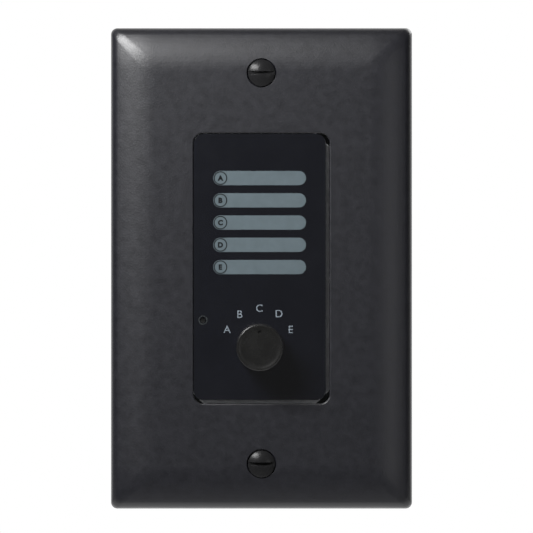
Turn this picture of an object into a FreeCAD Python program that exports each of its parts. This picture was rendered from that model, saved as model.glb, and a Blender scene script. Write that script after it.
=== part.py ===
import FreeCAD, Part
import math
import os

# Wall audio controller. All sizes are in millimetres.
# Z is up, X is to the right seen from the front, and Y points into the wall.
# The wall surface is the plane Y = 0, and the origin lies midway between the two box screws.

V = FreeCAD.Vector

# Wall plate: outline, crown and wall
PLATE_WIDTH = 74.6
PLATE_HEIGHT = 119.1
PLATE_DEPTH = 5.6
PLATE_SKIN = 2.0
PLATE_CORNER_RADIUS = 1.6
RIM_DRAFT_DEG = 7.0
SHOULDER_RADIUS = 2.6
CROWN_SLOPE_DEG = 22.0
CROWN_RADIUS = 24.0

# Wall plate: opening, collar, ribs and screw seats
OPENING_WIDTH = 33.7
OPENING_HEIGHT = 67.0
OPENING_CORNER_RADIUS = 2.4
COLLAR_WALL = 1.2
COLLAR_REACH = 0.5
RIB_WIDTH = 1.0
RIB_REACH = 1.5
RIB_GAP = 0.6
RIB_SPACING = 22.0
RIBS_PER_SIDE = 5
SCREW_RIB_OFFSET = 3.2
SCREW_RIB_LENGTH = 6.0
SCREW_RIB_GAP = 0.2
SEAT_RADIUS = 3.6

# Screws that hold the plate, and screws that hold the controller in its wall box
PLATE_SCREW_STEP = 6.75
PLATE_SCREW_RADIUS = 1.75
PLATE_SCREW_LENGTH = 12.7
PLATE_HEAD_RADIUS = 3.35
PLATE_HEAD_DOME = 0.9
SEAT_ANGLE_DEG = 41.0
SEAT_GAP = 0.05
BOX_SCREW_SPACING = 83.34
BOX_SCREW_RADIUS = 1.75
BOX_SCREW_REACH = 22.0
BOX_SCREW_NECK_RADIUS = 1.5
BOX_HEAD_RADIUS = 3.2
BOX_HEAD_HEIGHT = 1.9
DRIVER_SLOT_WIDTH = 0.9
DRIVER_SLOT_DEPTH = 0.9
SCREW_HOLE_GAP = 0.2
THREAD_GAP = 0.05

# Folded steel chassis with its two fixing ears
SHEET = 1.2
JOGGLE = 1.6
CHASSIS_SIDE_COVER = 1.15
CHASSIS_END_COVER = 1.1
CORNER_CUT = 5.21
FLANGE_REACH = 6.0
FLANGE_CORNER = 2.0
BEND_RADIUS = 1.2
JOGGLE_BEND_SHARE = 0.7
EAR_END_MARGIN = 4.63
EAR_WIDTH = 18.0
EAR_END_CUT = 3.0
EAR_TAPER = 4.5
BOX_SLOT_TRAVEL = 1.6

# Control panel stuck on the chassis, slightly off centre in the opening
PANEL_SIDE_GAP = 0.5
PANEL_END_GAP = 0.55
PANEL_SHIFT_X = -0.44
PANEL_SHIFT_Z = 0.35
PANEL_RECESS = 0.4
PANEL_CORNER_RADIUS = 2.4
ADHESIVE_THICKNESS = 0.2
ADHESIVE_MARGIN = 1.0

# Self-adhesive label fields on the panel
FIELD_COUNT = 5
FIELD_WIDTH = 23.0
FIELD_HEIGHT = 3.57
FIELD_PITCH = 5.51
FIELD_TOP_Z = 22.0
FIELD_THICKNESS = 0.15

# Status light: window, light pipe and lamp
LIGHT_X = -14.06
LIGHT_Z = -13.15
LIGHT_HOLE_RADIUS = 0.72
PIPE_RECESS = 0.5
PIPE_FIT = 0.02
PIPE_HOLE_GAP = 0.3
PIPE_END_GAP = 0.3
LED_WIDTH = 0.8
LED_LENGTH = 1.6
LED_HEIGHT = 0.7
LED_LENS_LENGTH = 1.0

# Selector knob
KNOB_Z = -19.91
KNOB_BASE_RADIUS = 5.85
KNOB_FACE_RADIUS = 5.7
KNOB_HEIGHT = 11.0
KNOB_LIFT = 0.5
KNOB_EDGE_CHAMFER = 0.4
KNOB_CAP = 1.8
KNOB_FIT = 0.05
DOT_RADIUS = 0.4
DOT_OFFSET = 3.88
DOT_DEPTH = 0.35
CLIP_WIDTH = 3.0
CLIP_LENGTH = 6.0
CLIP_THICKNESS = 0.2
CLIP_BOW = 0.15

# Rotary switch: bushing, clamp, nut and washer
SWITCH_SIZE = 16.0
BUSHING_RADIUS = 3.5
BUSHING_LENGTH = 3.4
BUSHING_FLANGE = 0.7
BUSHING_HOLE_GAP = 0.1
CLAMP_SHEET = 0.5
CLAMP_FIT = 0.05
CLAW_WIDTH = 2.4
CLAW_OFFSET = 5.6
CLAW_GRIP = 1.2
SHAFT_RADIUS = 3.0
SHAFT_FIT = 0.06
SHAFT_FLAT = 1.5
NUT_ACROSS_FLATS = 9.0
NUT_THICKNESS = 1.6
NUT_HOLE_GAP = 0.3
WASHER_RADIUS = 4.7
WASHER_THICKNESS = 0.4
WASHER_SLIT = 0.8
TAB_WIDTH = 1.6
TAB_LENGTH = 1.0
TAB_OFFSET = 6.2
TAB_GAP = 0.1

# Rotary switch: rotor with its detent and stop
POSITION_COUNT = 5
POSITION_STEP_DEG = 30.0
HOUSING_DEPTH = 6.6
AXIAL_PLAY = 0.1
ROTOR_RADIUS = 5.8
ROTOR_THICKNESS = 3.8
TRACK_RADIUS = 6.5
SCALLOP_RADIUS = 1.3
SCALLOP_DEPTH = 0.3
PLUNGER_SIZE = 2.3
PLUNGER_LENGTH = 3.4
PLUNGER_TRACK_GAP = 0.05
PLUNGER_FIT = 0.05
SPRING_RADIUS = 1.0
HUB_RADIUS = 3.9
HUB_GAP = 0.5
STOP_THICKNESS = 1.2
STOP_LUG_RADIUS = 6.1
STOP_LUG_HALF_DEG = 11.0
STOP_GAP_DEG = 0.5
STOP_GAP = 0.3
WIPER_CHAMBER = 13.6
WIPER_SEAT = 3.6
WIPER_SEAT_HEIGHT = 0.4
WIPER_FIT = 0.05
WIPER_THICKNESS = 0.3
WIPER_RING = 0.9
WIPER_ARM_WIDTH = 1.8
WIPER_NOSE_LENGTH = 1.2
WIPER_GAP = 0.05
PILOT_RADIUS = 1.5
PILOT_FIT = 0.06

# Rotary switch: contact base
STATOR_THICKNESS = 1.6
STATOR_FLOOR = 0.4
CONTACT_CIRCLE = 5.2
CONTACT_LENGTH = 1.8
CONTACT_HALF_DEG = 10.0
CONTACT_HEIGHT = 0.2
COMMON_INNER = 4.6
COMMON_OUTER = 7.4
COMMON_CIRCLE = 3.0
PIN_SIZE = 0.64
PIN_FIT = 0.05
PIN_TAIL = 1.2
FOOT_SIZE = 1.6
FOOT_OFFSET = 7.0

# Circuit board and what carries it
STANDOFF_LENGTH = 10.0
STANDOFF_ACROSS_FLATS = 5.0
STANDOFF_SPIGOT = 4.0
STANDOFF_SPIGOT_LENGTH = 1.1
STANDOFF_BORE_DEPTH = 8.0
STANDOFF_X = 12.3
STANDOFF_Z = 27.6
BOARD_WIDTH = 38.0
BOARD_HEIGHT = 72.0
BOARD_THICKNESS = 1.6
BOARD_SCREW_RADIUS = 1.45
BOARD_SCREW_LENGTH = 6.6
BOARD_HEAD_ACROSS_FLATS = 5.5
BOARD_HEAD_HEIGHT = 2.0
RESISTOR_COUNT = 6
RESISTOR_LENGTH = 2.0
RESISTOR_WIDTH = 1.25
RESISTOR_HEIGHT = 0.5
RESISTOR_CAP = 0.4
RESISTOR_CAP_STEP = 0.06
RESISTOR_PITCH = 3.2
RESISTOR_Z = -3.0

# Modular jack on the back of the board, its mouth towards the rear
JACK_WIDTH = 15.9
JACK_HEIGHT = 13.0
JACK_DEPTH = 16.0
JACK_Z = 18.0
SHIELD_THICKNESS = 0.3
SHIELD_FIT = 0.05
SHIELD_LEG_WIDTH = 1.2
PORT_WIDTH = 11.9
PORT_HEIGHT = 6.8
PORT_DEPTH = 12.4
PORT_SILL = 2.4
LATCH_WIDTH = 6.4
LATCH_HEIGHT = 2.3
LATCH_POCKET_WIDTH = 8.6
LATCH_LIP = 1.6
WIRE_COUNT = 8
WIRE_PITCH = 1.02
WIRE_WIDTH = 0.4
WIRE_GAP = 0.1
WIRE_RISE = 1.9
WIRE_TIP_LIFT = 2.5
WIRE_BEND_DEPTH = 2.0
WIRE_TAIL = 0.9
WIRE_TAIL_ROW = 2.54
SLOT_DEPTH = 1.2

# Planes and places that follow from the sizes above
CHASSIS_FRONT = -(JOGGLE + SHEET)
CHASSIS_BACK = CHASSIS_FRONT + SHEET
CHASSIS_HALF_WIDTH = OPENING_WIDTH / 2 + CHASSIS_SIDE_COVER
CHASSIS_HALF_HEIGHT = OPENING_HEIGHT / 2 + CHASSIS_END_COVER
END_BEND_RADIUS = min(BEND_RADIUS, JOGGLE_BEND_SHARE * JOGGLE)
PLATE_SCREW_SPACING = BOX_SCREW_SPACING + 2 * PLATE_SCREW_STEP
EAR_TIP = PLATE_SCREW_SPACING / 2 + EAR_END_MARGIN
PLATE_INSIDE = -(PLATE_DEPTH - PLATE_SKIN)
PANEL_BACK = CHASSIS_FRONT - ADHESIVE_THICKNESS
PANEL_FACE = -(PLATE_DEPTH - PANEL_RECESS)
PANEL_WIDTH = OPENING_WIDTH - 2 * PANEL_SIDE_GAP
PANEL_HEIGHT = OPENING_HEIGHT - 2 * PANEL_END_GAP
AXIS_X = PANEL_SHIFT_X
AXIS_Z = PANEL_SHIFT_Z + KNOB_Z
LAMP_X = PANEL_SHIFT_X + LIGHT_X
LAMP_Z = PANEL_SHIFT_Z + LIGHT_Z
PIPE_RADIUS = LIGHT_HOLE_RADIUS - PIPE_FIT
KNOB_FOOT = PANEL_FACE - KNOB_LIFT
KNOB_FACE = KNOB_FOOT - KNOB_HEIGHT
FLANGE_FRONT = CHASSIS_BACK + CLAMP_SHEET
HOUSING_FRONT = FLANGE_FRONT + BUSHING_FLANGE
HOUSING_BACK = HOUSING_FRONT + HOUSING_DEPTH
ROTOR_FRONT = HOUSING_FRONT + AXIAL_PLAY
ROTOR_BACK = ROTOR_FRONT + ROTOR_THICKNESS
LEDGE_FRONT = ROTOR_BACK + AXIAL_PLAY
LEDGE_BACK = LEDGE_FRONT + STOP_THICKNESS
HUB_BACK = LEDGE_BACK + AXIAL_PLAY
WIPER_BACK = HUB_BACK + WIPER_THICKNESS
STATOR_BACK = HOUSING_BACK + STATOR_THICKNESS
BOARD_FRONT = CHASSIS_BACK + STANDOFF_LENGTH
BOARD_BACK = BOARD_FRONT + BOARD_THICKNESS
PLUNGER_MIDDLE = (ROTOR_FRONT + ROTOR_BACK) / 2
PLUNGER_TIP = TRACK_RADIUS - PLUNGER_TRACK_GAP
TURN_LIMIT_DEG = POSITION_STEP_DEG * (POSITION_COUNT - 1) / 2
JACK_LOW = JACK_Z - JACK_HEIGHT / 2
JACK_MOUTH = BOARD_BACK + JACK_DEPTH
JACK_SKIN = SHIELD_THICKNESS + SHIELD_FIT
PORT_LOW = JACK_LOW + PORT_SILL
PORT_HIGH = PORT_LOW + PORT_HEIGHT
PORT_END = JACK_MOUTH - PORT_DEPTH
FREE = 40.0
BITE = 0.2
OVER = 1.0


def outline(width, height, radius, y, x=0.0, z=0.0):
    """Rounded rectangle in the plane of depth y."""
    side = width / 2
    end = height / 2
    corners = [V(x + sx * side, y, z + sz * end) for sx, sz in ((1, 1), (-1, 1), (-1, -1), (1, -1))]
    return rounded_polygon(corners, [min(radius, side, end)] * 4)


def rounded_polygon(points, radii):
    """Closed flat wire through the points, each corner rounded by its own radius."""
    entries = []
    exits = []
    arcs = []
    for index, corner in enumerate(points):
        back = (points[index - 1] - corner).normalize()
        ahead = (points[(index + 1) % len(points)] - corner).normalize()
        half = back.getAngle(ahead) / 2
        reach = radii[index] / math.tan(half)
        entries.append(corner + back * reach)
        exits.append(corner + ahead * reach)
        if radii[index] > 0:
            inward = (back + ahead).normalize()
            middle = corner + inward * (radii[index] / math.sin(half) - radii[index])
            arcs.append(Part.Arc(entries[index], middle, exits[index]).toShape())
        else:
            arcs.append(None)
    edges = []
    for index in range(len(points)):
        following = (index + 1) % len(points)
        if arcs[index]:
            edges.append(arcs[index])
        if exits[index].distanceToPoint(entries[following]) > 1e-6:
            edges.append(Part.makeLine(exits[index], entries[following]))
    return Part.Wire(edges)


def prism(wire, along):
    """Solid swept from a flat closed wire along a vector."""
    return Part.Face(wire).extrude(along)


def slab(points, y0, y1):
    """Straight-sided plate between two depths, from its corners in the front view."""
    corners = [V(x, y0, z) for x, z in points]
    return prism(Part.makePolygon(corners + corners[:1]), V(0, y1 - y0, 0))


def block(width, height, y0, y1, radius=0.0, x=0.0, z=0.0):
    """Flat slab between two depths, with rounded corners if a radius is given."""
    if radius > 0:
        return prism(outline(width, height, radius, y0, x, z), V(0, y1 - y0, 0))
    return Part.makeBox(width, y1 - y0, height, V(x - width / 2, y0, z - height / 2))


def upright_box(width, y0, y1, z0, z1, x=0.0):
    """Plain box given by its depths and its heights."""
    return Part.makeBox(width, y1 - y0, z1 - z0, V(x - width / 2, y0, z0))


def rod(radius, y0, y1, x=0.0, z=0.0):
    """Round bar between two depths."""
    return Part.makeCylinder(radius, y1 - y0, V(x, y0, z), V(0, 1, 0))


def taper(radius0, radius1, y0, y1, x=0.0, z=0.0):
    """Cone between two depths."""
    return Part.makeCone(radius0, radius1, y1 - y0, V(x, y0, z), V(0, 1, 0))


def dome(radius, height, y, x=0.0, z=0.0):
    """Low spherical cap that stands forward of the plane of depth y."""
    ball_radius = (radius**2 + height**2) / (2 * height)
    ball = Part.makeSphere(ball_radius, V(x, y - height + ball_radius, z))
    return ball.common(rod(radius + height, y - height - height, y, x, z))


def hexagon(across_flats, y0, y1, x, z):
    """Hexagonal bar between two depths."""
    corners = [around(across_flats / math.sqrt(3), 60 * index, y0, x, z) for index in range(6)]
    return prism(Part.makePolygon(corners + corners[:1]), V(0, y1 - y0, 0))


def around(radius, clockwise_deg, y, x=0.0, z=0.0):
    """Point on a circle in the plane of depth y, clockwise from straight up as seen from the front."""
    angle = math.radians(clockwise_deg)
    return V(x + radius * math.sin(angle), y, z + radius * math.cos(angle))


def sector(radius, centre_deg, half_deg, y0, y1):
    """Pie-shaped solid about the switch axis, its angles measured clockwise from straight up."""
    rim = []
    for angle in (centre_deg - half_deg, centre_deg, centre_deg + half_deg):
        rim.append(around(radius, angle, y0, AXIS_X, AXIS_Z))
    apex = V(AXIS_X, y0, AXIS_Z)
    edges = [Part.makeLine(apex, rim[0]), Part.Arc(*rim).toShape(), Part.makeLine(rim[2], apex)]
    return prism(Part.Wire(edges), V(0, y1 - y0, 0))


def joined(solids):
    """One solid made of overlapping or touching solids."""
    whole = solids[0]
    for solid in solids[1:]:
        whole = whole.fuse(solid)
    return whole.removeSplitter()


def four_corners(x, z):
    """The four places of a pattern about the centre."""
    return [(sx * x, sz * z) for sx in (-1, 1) for sz in (-1, 1)]


def standoff_places():
    """The two places beside the jack where the board is screwed down."""
    return [(-STANDOFF_X, STANDOFF_Z), (STANDOFF_X, STANDOFF_Z)]


def position_angles():
    """Clockwise angle of each switch position, the middle one straight up."""
    return [POSITION_STEP_DEG * index - TURN_LIMIT_DEG for index in range(POSITION_COUNT)]


def save(name, *solids):
    """Write one sub-part, a single solid or a group of separate ones."""
    shape = solids[0] if len(solids) == 1 else Part.makeCompound(list(solids))
    shape.exportStep(os.path.join("parts", name + ".step"))
    print(name, len(shape.Solids), "solids", round(shape.Volume, 1), "mm3", shape.isValid())


def crown_arcs():
    """Inset, height and slope at the start, middle and end of the shoulder and of the crown."""
    rim_slope = math.radians(90 - RIM_DRAFT_DEG)
    crown_slope = math.radians(CROWN_SLOPE_DEG)
    crown_rise = CROWN_RADIUS * (1 - math.cos(crown_slope))
    shoulder_rise = SHOULDER_RADIUS * (math.cos(crown_slope) - math.cos(rim_slope))
    rim_height = PLATE_DEPTH - crown_rise - shoulder_rise
    rim_inset = rim_height * math.tan(math.radians(RIM_DRAFT_DEG))
    shoulder = arc_points(rim_inset, rim_height, SHOULDER_RADIUS, rim_slope, crown_slope)
    crown = arc_points(shoulder[-1][0], shoulder[-1][1], CROWN_RADIUS, crown_slope, 0.0)
    return shoulder, crown


def arc_points(inset, height, radius, slope, end_slope):
    """Start, middle and end of an arc that turns from one slope to a gentler one."""
    points = []
    for angle in (slope, (slope + end_slope) / 2, end_slope):
        run = radius * (math.sin(slope) - math.sin(angle))
        rise = radius * (math.cos(angle) - math.cos(slope))
        points.append((inset + run, height + rise, angle))
    return points


def crowned_bar(half_span, length, turn_deg):
    """Bar with the plate's edge profile on both sides, turned in the plane of the plate."""
    shoulder, crown = crown_arcs()
    arcs = []
    for curve in (shoulder, crown):
        arcs.append([V(half_span - inset, -height, -length / 2) for inset, height, _ in curve])
    foot = V(half_span, 0, -length / 2)
    edges = []
    for side in (1, -1):
        near = [[V(side * p.x, p.y, p.z) for p in arc] for arc in arcs]
        edges.append(Part.makeLine(V(side * foot.x, 0, foot.z), near[0][0]))
        edges += [Part.Arc(*arc).toShape() for arc in near]
    top = arcs[1][2]
    edges.append(Part.makeLine(top, V(-top.x, top.y, top.z)))
    edges.append(Part.makeLine(V(-foot.x, 0, foot.z), foot))
    bar = prism(Part.Wire(Part.sortEdges(edges)[0]), V(0, 0, length))
    return bar.rotate(V(0, 0, 0), V(0, 1, 0), turn_deg)


def crowned_block():
    """Solid pillow shape of the plate with its rounded corners."""
    reach = PLATE_WIDTH + PLATE_HEIGHT
    body = block(PLATE_WIDTH + OVER, PLATE_HEIGHT + OVER, -PLATE_DEPTH - OVER, 0.0, 0.0)
    body = body.common(crowned_bar(PLATE_WIDTH / 2, reach, 0.0))
    body = body.common(crowned_bar(PLATE_HEIGHT / 2, reach, 90.0))
    corners = block(PLATE_WIDTH, PLATE_HEIGHT, -PLATE_DEPTH - OVER, OVER, PLATE_CORNER_RADIUS)
    return body.common(corners)


def cavity_bar(half_span, length, turn_deg):
    """Straight-sided bar that lies one skin inside the crowned bar."""
    shoulder, crown = crown_arcs()
    points = [(half_span - PLATE_SKIN, OVER), (half_span - PLATE_SKIN, 0.0)]
    for inset, height, slope in (shoulder[0], crown[0], crown[-1]):
        x = half_span - inset - PLATE_SKIN * math.sin(slope)
        points.append((x, PLATE_SKIN * math.cos(slope) - height))
    points += [(-x, y) for x, y in reversed(points)]
    corners = [V(x, y, -length / 2) for x, y in points]
    bar = prism(Part.makePolygon(corners + corners[:1]), V(0, 0, length))
    return bar.rotate(V(0, 0, 0), V(0, 1, 0), turn_deg)


def wall_plate():
    """Crowned plate with its opening, collar, ribs and two countersunk screw holes."""
    reach = PLATE_WIDTH + PLATE_HEIGHT
    cavity = cavity_bar(PLATE_WIDTH / 2, reach, 0.0).common(cavity_bar(PLATE_HEIGHT / 2, reach, 90.0))
    shell = crowned_block().cut(cavity)
    collar_width = OPENING_WIDTH + 2 * COLLAR_WALL
    collar_height = OPENING_HEIGHT + 2 * COLLAR_WALL
    pieces = [shell, block(collar_width, collar_height, PLATE_INSIDE - BITE, PLATE_INSIDE + COLLAR_REACH)]
    rib_start = CHASSIS_HALF_WIDTH + RIB_GAP
    rib_end = PLATE_WIDTH / 2 - crown_arcs()[0][0][0] - PLATE_SKIN
    rib_middle = (rib_start + rib_end) / 2
    for side in (-1, 1):
        for index in range(RIBS_PER_SIDE):
            z = RIB_SPACING * (index - (RIBS_PER_SIDE - 1) / 2)
            top = PLATE_INSIDE + RIB_REACH
            rib = block(rib_end - rib_start, RIB_WIDTH, PLATE_INSIDE - BITE, top, 0.0, side * rib_middle, z)
            pieces.append(rib)
    for x, z in four_corners(SCREW_RIB_OFFSET, PLATE_SCREW_SPACING / 2):
        top = -SHEET - SCREW_RIB_GAP
        pieces.append(block(RIB_WIDTH, SCREW_RIB_LENGTH, PLATE_INSIDE - BITE, top, 0.0, x, z))
    plate = joined(pieces)
    plate = plate.cut(block(OPENING_WIDTH, OPENING_HEIGHT, -FREE, FREE, OPENING_CORNER_RADIUS))
    for end in (-1, 1):
        z = end * PLATE_SCREW_SPACING / 2
        plate = plate.cut(rod(PLATE_SCREW_RADIUS + SCREW_HOLE_GAP, -FREE, FREE, 0.0, z))
        plate = plate.cut(seat_cone(z))
    return plate


def seat_cone(z):
    """Countersunk seat, as a solid that narrows from the plate's face to the screw hole."""
    narrow = PLATE_SCREW_RADIUS + SCREW_HOLE_GAP
    depth = (SEAT_RADIUS - narrow) / math.tan(math.radians(SEAT_ANGLE_DEG))
    return taper(SEAT_RADIUS, narrow, -PLATE_DEPTH, -PLATE_DEPTH + depth, 0.0, z)


def plate_screw(z):
    """Oval-head slotted screw in the plate's seat."""
    shank_end = -PLATE_DEPTH + PLATE_SCREW_LENGTH
    slope = math.tan(math.radians(SEAT_ANGLE_DEG))
    rim_y = -PLATE_DEPTH + (SEAT_RADIUS - PLATE_HEAD_RADIUS) / slope - SEAT_GAP
    cone_end = rim_y + (PLATE_HEAD_RADIUS - PLATE_SCREW_RADIUS) / slope
    head = taper(PLATE_HEAD_RADIUS, PLATE_SCREW_RADIUS, rim_y, cone_end, 0.0, z)
    cap = dome(PLATE_HEAD_RADIUS, PLATE_HEAD_DOME, rim_y, 0.0, z)
    shank = rod(PLATE_SCREW_RADIUS, cone_end - BITE, shank_end, 0.0, z)
    screw = joined([head, cap, shank])
    top = rim_y - PLATE_HEAD_DOME
    return screw.cut(block(FREE, DRIVER_SLOT_WIDTH, top - OVER, top + DRIVER_SLOT_DEPTH, 0.0, 0.0, z))


def box_screw(z):
    """Pan-head screw through the ear's slot, its neck relieved up to the wall plane to keep it captive."""
    seat = -SHEET
    top = seat - BOX_HEAD_HEIGHT
    head = rod(BOX_HEAD_RADIUS, top, seat, 0.0, z)
    neck = rod(BOX_SCREW_NECK_RADIUS, seat - BITE, BITE, 0.0, z)
    thread = rod(BOX_SCREW_RADIUS, 0.0, BOX_SCREW_REACH, 0.0, z)
    slot = block(FREE, DRIVER_SLOT_WIDTH, top - OVER, top + DRIVER_SLOT_DEPTH, 0.0, 0.0, z)
    return joined([head, neck, thread]).cut(slot)


def strap():
    """Side view of the folded strap, front wall, joggles and ears, as one bent sheet across the chassis."""
    half = CHASSIS_HALF_HEIGHT
    front = [(-SHEET, EAR_TIP, 0.0), (-SHEET, half, 0.0), (CHASSIS_FRONT, half, END_BEND_RADIUS)]
    front += [(y, -z, radius) for y, z, radius in reversed(front)]
    back = [(0.0, -EAR_TIP, 0.0), (0.0, SHEET - half, END_BEND_RADIUS), (CHASSIS_BACK, SHEET - half, 0.0)]
    back += [(y, -z, radius) for y, z, radius in reversed(back)]
    corners = front + back
    wire = rounded_polygon([V(-FREE, y, z) for y, z, _ in corners], [radius for _, _, radius in corners])
    return prism(wire, V(2 * FREE, 0, 0))


def ear_silhouette(side):
    """Front view of one half of the strap, from its middle to the ear's cut corners."""
    half = CHASSIS_HALF_HEIGHT
    strap_half = EAR_WIDTH / 2
    end = [(strap_half, half + EAR_TAPER), (strap_half, EAR_TIP - EAR_END_CUT)]
    end.append((strap_half - EAR_END_CUT, EAR_TIP))
    end += [(-x, z) for x, z in reversed(end)]
    right = shear_line(1) - half
    left = half - shear_line(-1)
    points = [(right, 0.0), (right, half)] + end + [(left, half), (left, 0.0)]
    return slab([(x, side * z) for x, z in points], -FREE, FREE)


def shear_line(side):
    """Sum of sideways distance and height along a sheared corner. The corners are centred on the panel."""
    return CHASSIS_HALF_WIDTH + CHASSIS_HALF_HEIGHT - CORNER_CUT + side * PANEL_SHIFT_X


def front_wall():
    """Flat front wall of the chassis with its four sheared corners, up to where the sheet bends."""
    width = CHASSIS_HALF_WIDTH - BEND_RADIUS
    end = CHASSIS_HALF_HEIGHT - END_BEND_RADIUS
    right, left = shear_line(1), shear_line(-1)
    upper = [(width, right - width), (right - end, end), (end - left, end), (-width, left - width)]
    return slab(upper + [(x, -z) for x, z in reversed(upper)], CHASSIS_FRONT, CHASSIS_BACK)


def channel():
    """Front wall with its two side flanges, as one bent sheet between the sheared corners."""
    half = CHASSIS_HALF_WIDTH
    inner = half - SHEET
    corners = [(-half, FLANGE_REACH, 0.0), (-half, CHASSIS_FRONT, BEND_RADIUS)]
    corners += [(half, CHASSIS_FRONT, BEND_RADIUS), (half, FLANGE_REACH, 0.0), (inner, FLANGE_REACH, 0.0)]
    corners += [(inner, CHASSIS_BACK, 0.0), (-inner, CHASSIS_BACK, 0.0), (-inner, FLANGE_REACH, 0.0)]
    end = min(shear_line(1), shear_line(-1)) - CHASSIS_HALF_WIDTH
    points = [V(x, y, -end) for x, y, _ in corners]
    folded = prism(rounded_polygon(points, [radius for _, _, radius in corners]), V(0, 0, 2 * end))
    side = [(FLANGE_REACH - FLANGE_CORNER, end), (FLANGE_REACH, end - FLANGE_CORNER)]
    side = [(CHASSIS_FRONT - OVER, end)] + side
    side += [(y, -z) for y, z in reversed(side)]
    trimmed = [V(-FREE, y, z) for y, z in side]
    return folded.common(prism(Part.makePolygon(trimmed + trimmed[:1]), V(2 * FREE, 0, 0)))


def chassis_yoke():
    """Folded chassis with its ears, and every hole that the other pieces need."""
    silhouette = joined([ear_silhouette(1), ear_silhouette(-1)])
    yoke = joined([strap().common(silhouette), channel(), front_wall()])
    before = CHASSIS_FRONT - OVER
    behind = CHASSIS_BACK + OVER
    holes = [rod(BUSHING_RADIUS + BUSHING_HOLE_GAP, before, behind, AXIS_X, AXIS_Z)]
    tab_hole = TAB_WIDTH + 2 * TAB_GAP
    tab_hole_height = CLAMP_SHEET + 2 * TAB_GAP
    holes.append(block(tab_hole_height, tab_hole, before, behind, 0.0, AXIS_X + TAB_OFFSET, AXIS_Z))
    pipe_hole = 2 * (PIPE_RADIUS + PIPE_HOLE_GAP)
    holes.append(block(pipe_hole, pipe_hole, before, behind, 0.0, LAMP_X, LAMP_Z))
    for x, z in standoff_places():
        holes.append(hexagon(STANDOFF_SPIGOT, before, behind, x, z))
    for end in (-1, 1):
        holes.append(rod(PLATE_SCREW_RADIUS + THREAD_GAP, -FREE, FREE, 0.0, end * PLATE_SCREW_SPACING / 2))
        slot_height = 2 * (BOX_SCREW_RADIUS + SCREW_HOLE_GAP)
        slot_width = slot_height + 2 * BOX_SLOT_TRAVEL
        slot_z = end * BOX_SCREW_SPACING / 2
        holes.append(block(slot_width, slot_height, -FREE, FREE, slot_height / 2, 0.0, slot_z))
    return yoke.cut(Part.makeCompound(holes))


def field_places():
    """Centre height of each label field, from the top."""
    return [PANEL_SHIFT_Z + FIELD_TOP_Z - FIELD_PITCH * index for index in range(FIELD_COUNT)]


def front_panel():
    """Glossy control panel with a shaft hole and a light window."""
    centre = (PANEL_SHIFT_X, PANEL_SHIFT_Z)
    panel = block(PANEL_WIDTH, PANEL_HEIGHT, PANEL_FACE, PANEL_BACK, PANEL_CORNER_RADIUS, *centre)
    panel = panel.cut(rod(nut_hole_radius(), -FREE, FREE, AXIS_X, AXIS_Z))
    return panel.cut(rod(LIGHT_HOLE_RADIUS, -FREE, FREE, LAMP_X, LAMP_Z))


def nut_hole_radius():
    """Radius of the panel's hole round the nut's corners."""
    return NUT_ACROSS_FLATS / math.sqrt(3) + NUT_HOLE_GAP


def label_field(z):
    """One blue-grey label field, stuck on the panel's face."""
    front = PANEL_FACE - FIELD_THICKNESS
    return block(FIELD_WIDTH, FIELD_HEIGHT, front, PANEL_FACE, FIELD_HEIGHT / 2, AXIS_X, z)


def panel_adhesive():
    """Double-sided sheet between panel and chassis, cut out round the nut and the light pipe."""
    width = PANEL_WIDTH - 2 * ADHESIVE_MARGIN
    height = PANEL_HEIGHT - 2 * ADHESIVE_MARGIN
    sheet = block(width, height, PANEL_BACK, CHASSIS_FRONT, 0.0, PANEL_SHIFT_X, PANEL_SHIFT_Z)
    nut_hole = 2 * nut_hole_radius()
    sheet = sheet.cut(block(nut_hole, nut_hole, -FREE, FREE, 0.0, AXIS_X, AXIS_Z))
    pipe_hole = 2 * (PIPE_RADIUS + PIPE_HOLE_GAP)
    return sheet.cut(block(pipe_hole, pipe_hole, -FREE, FREE, 0.0, LAMP_X, LAMP_Z))


def light_pipe():
    """Clear rod from the window to the lamp."""
    return rod(PIPE_RADIUS, PANEL_FACE + PIPE_RECESS, BOARD_FRONT - LED_HEIGHT - PIPE_END_GAP, LAMP_X, LAMP_Z)


def status_led():
    """Small surface-mounted lamp on the front of the board, with its moulded lens."""
    middle = BOARD_FRONT - LED_HEIGHT / 2
    base = block(LED_WIDTH, LED_LENGTH, middle, BOARD_FRONT, 0.0, LAMP_X, LAMP_Z)
    lens = block(LED_WIDTH, LED_LENS_LENGTH, BOARD_FRONT - LED_HEIGHT, middle, 0.0, LAMP_X, LAMP_Z)
    return joined([base, lens])


def knob_flat():
    """Distance of the knob's inner flat from the axis."""
    return SHAFT_FLAT + CLIP_THICKNESS + CLIP_BOW + 2 * KNOB_FIT


def knob_bore():
    """D-shaped bore, its flat towards the pointer."""
    bore = rod(SHAFT_RADIUS + KNOB_FIT, KNOB_FACE + KNOB_CAP, KNOB_FOOT + OVER, AXIS_X, AXIS_Z)
    return bore.cut(block(FREE, FREE, -FREE, FREE, 0.0, AXIS_X, AXIS_Z + knob_flat() + FREE / 2))


def selector_knob():
    """Tapered push-on knob with a bevelled front edge and a pointer dimple."""
    bevel_back = KNOB_FACE + KNOB_EDGE_CHAMFER
    side = taper(KNOB_FACE_RADIUS, KNOB_BASE_RADIUS, bevel_back, KNOB_FOOT, AXIS_X, AXIS_Z)
    rim = KNOB_FACE_RADIUS - KNOB_EDGE_CHAMFER
    bevel = taper(rim, KNOB_FACE_RADIUS, KNOB_FACE, bevel_back, AXIS_X, AXIS_Z)
    knob = joined([side, bevel]).cut(knob_bore())
    return knob.cut(rod(DOT_RADIUS, KNOB_FACE - OVER, KNOB_FACE + DOT_DEPTH, AXIS_X, AXIS_Z + DOT_OFFSET))


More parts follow.
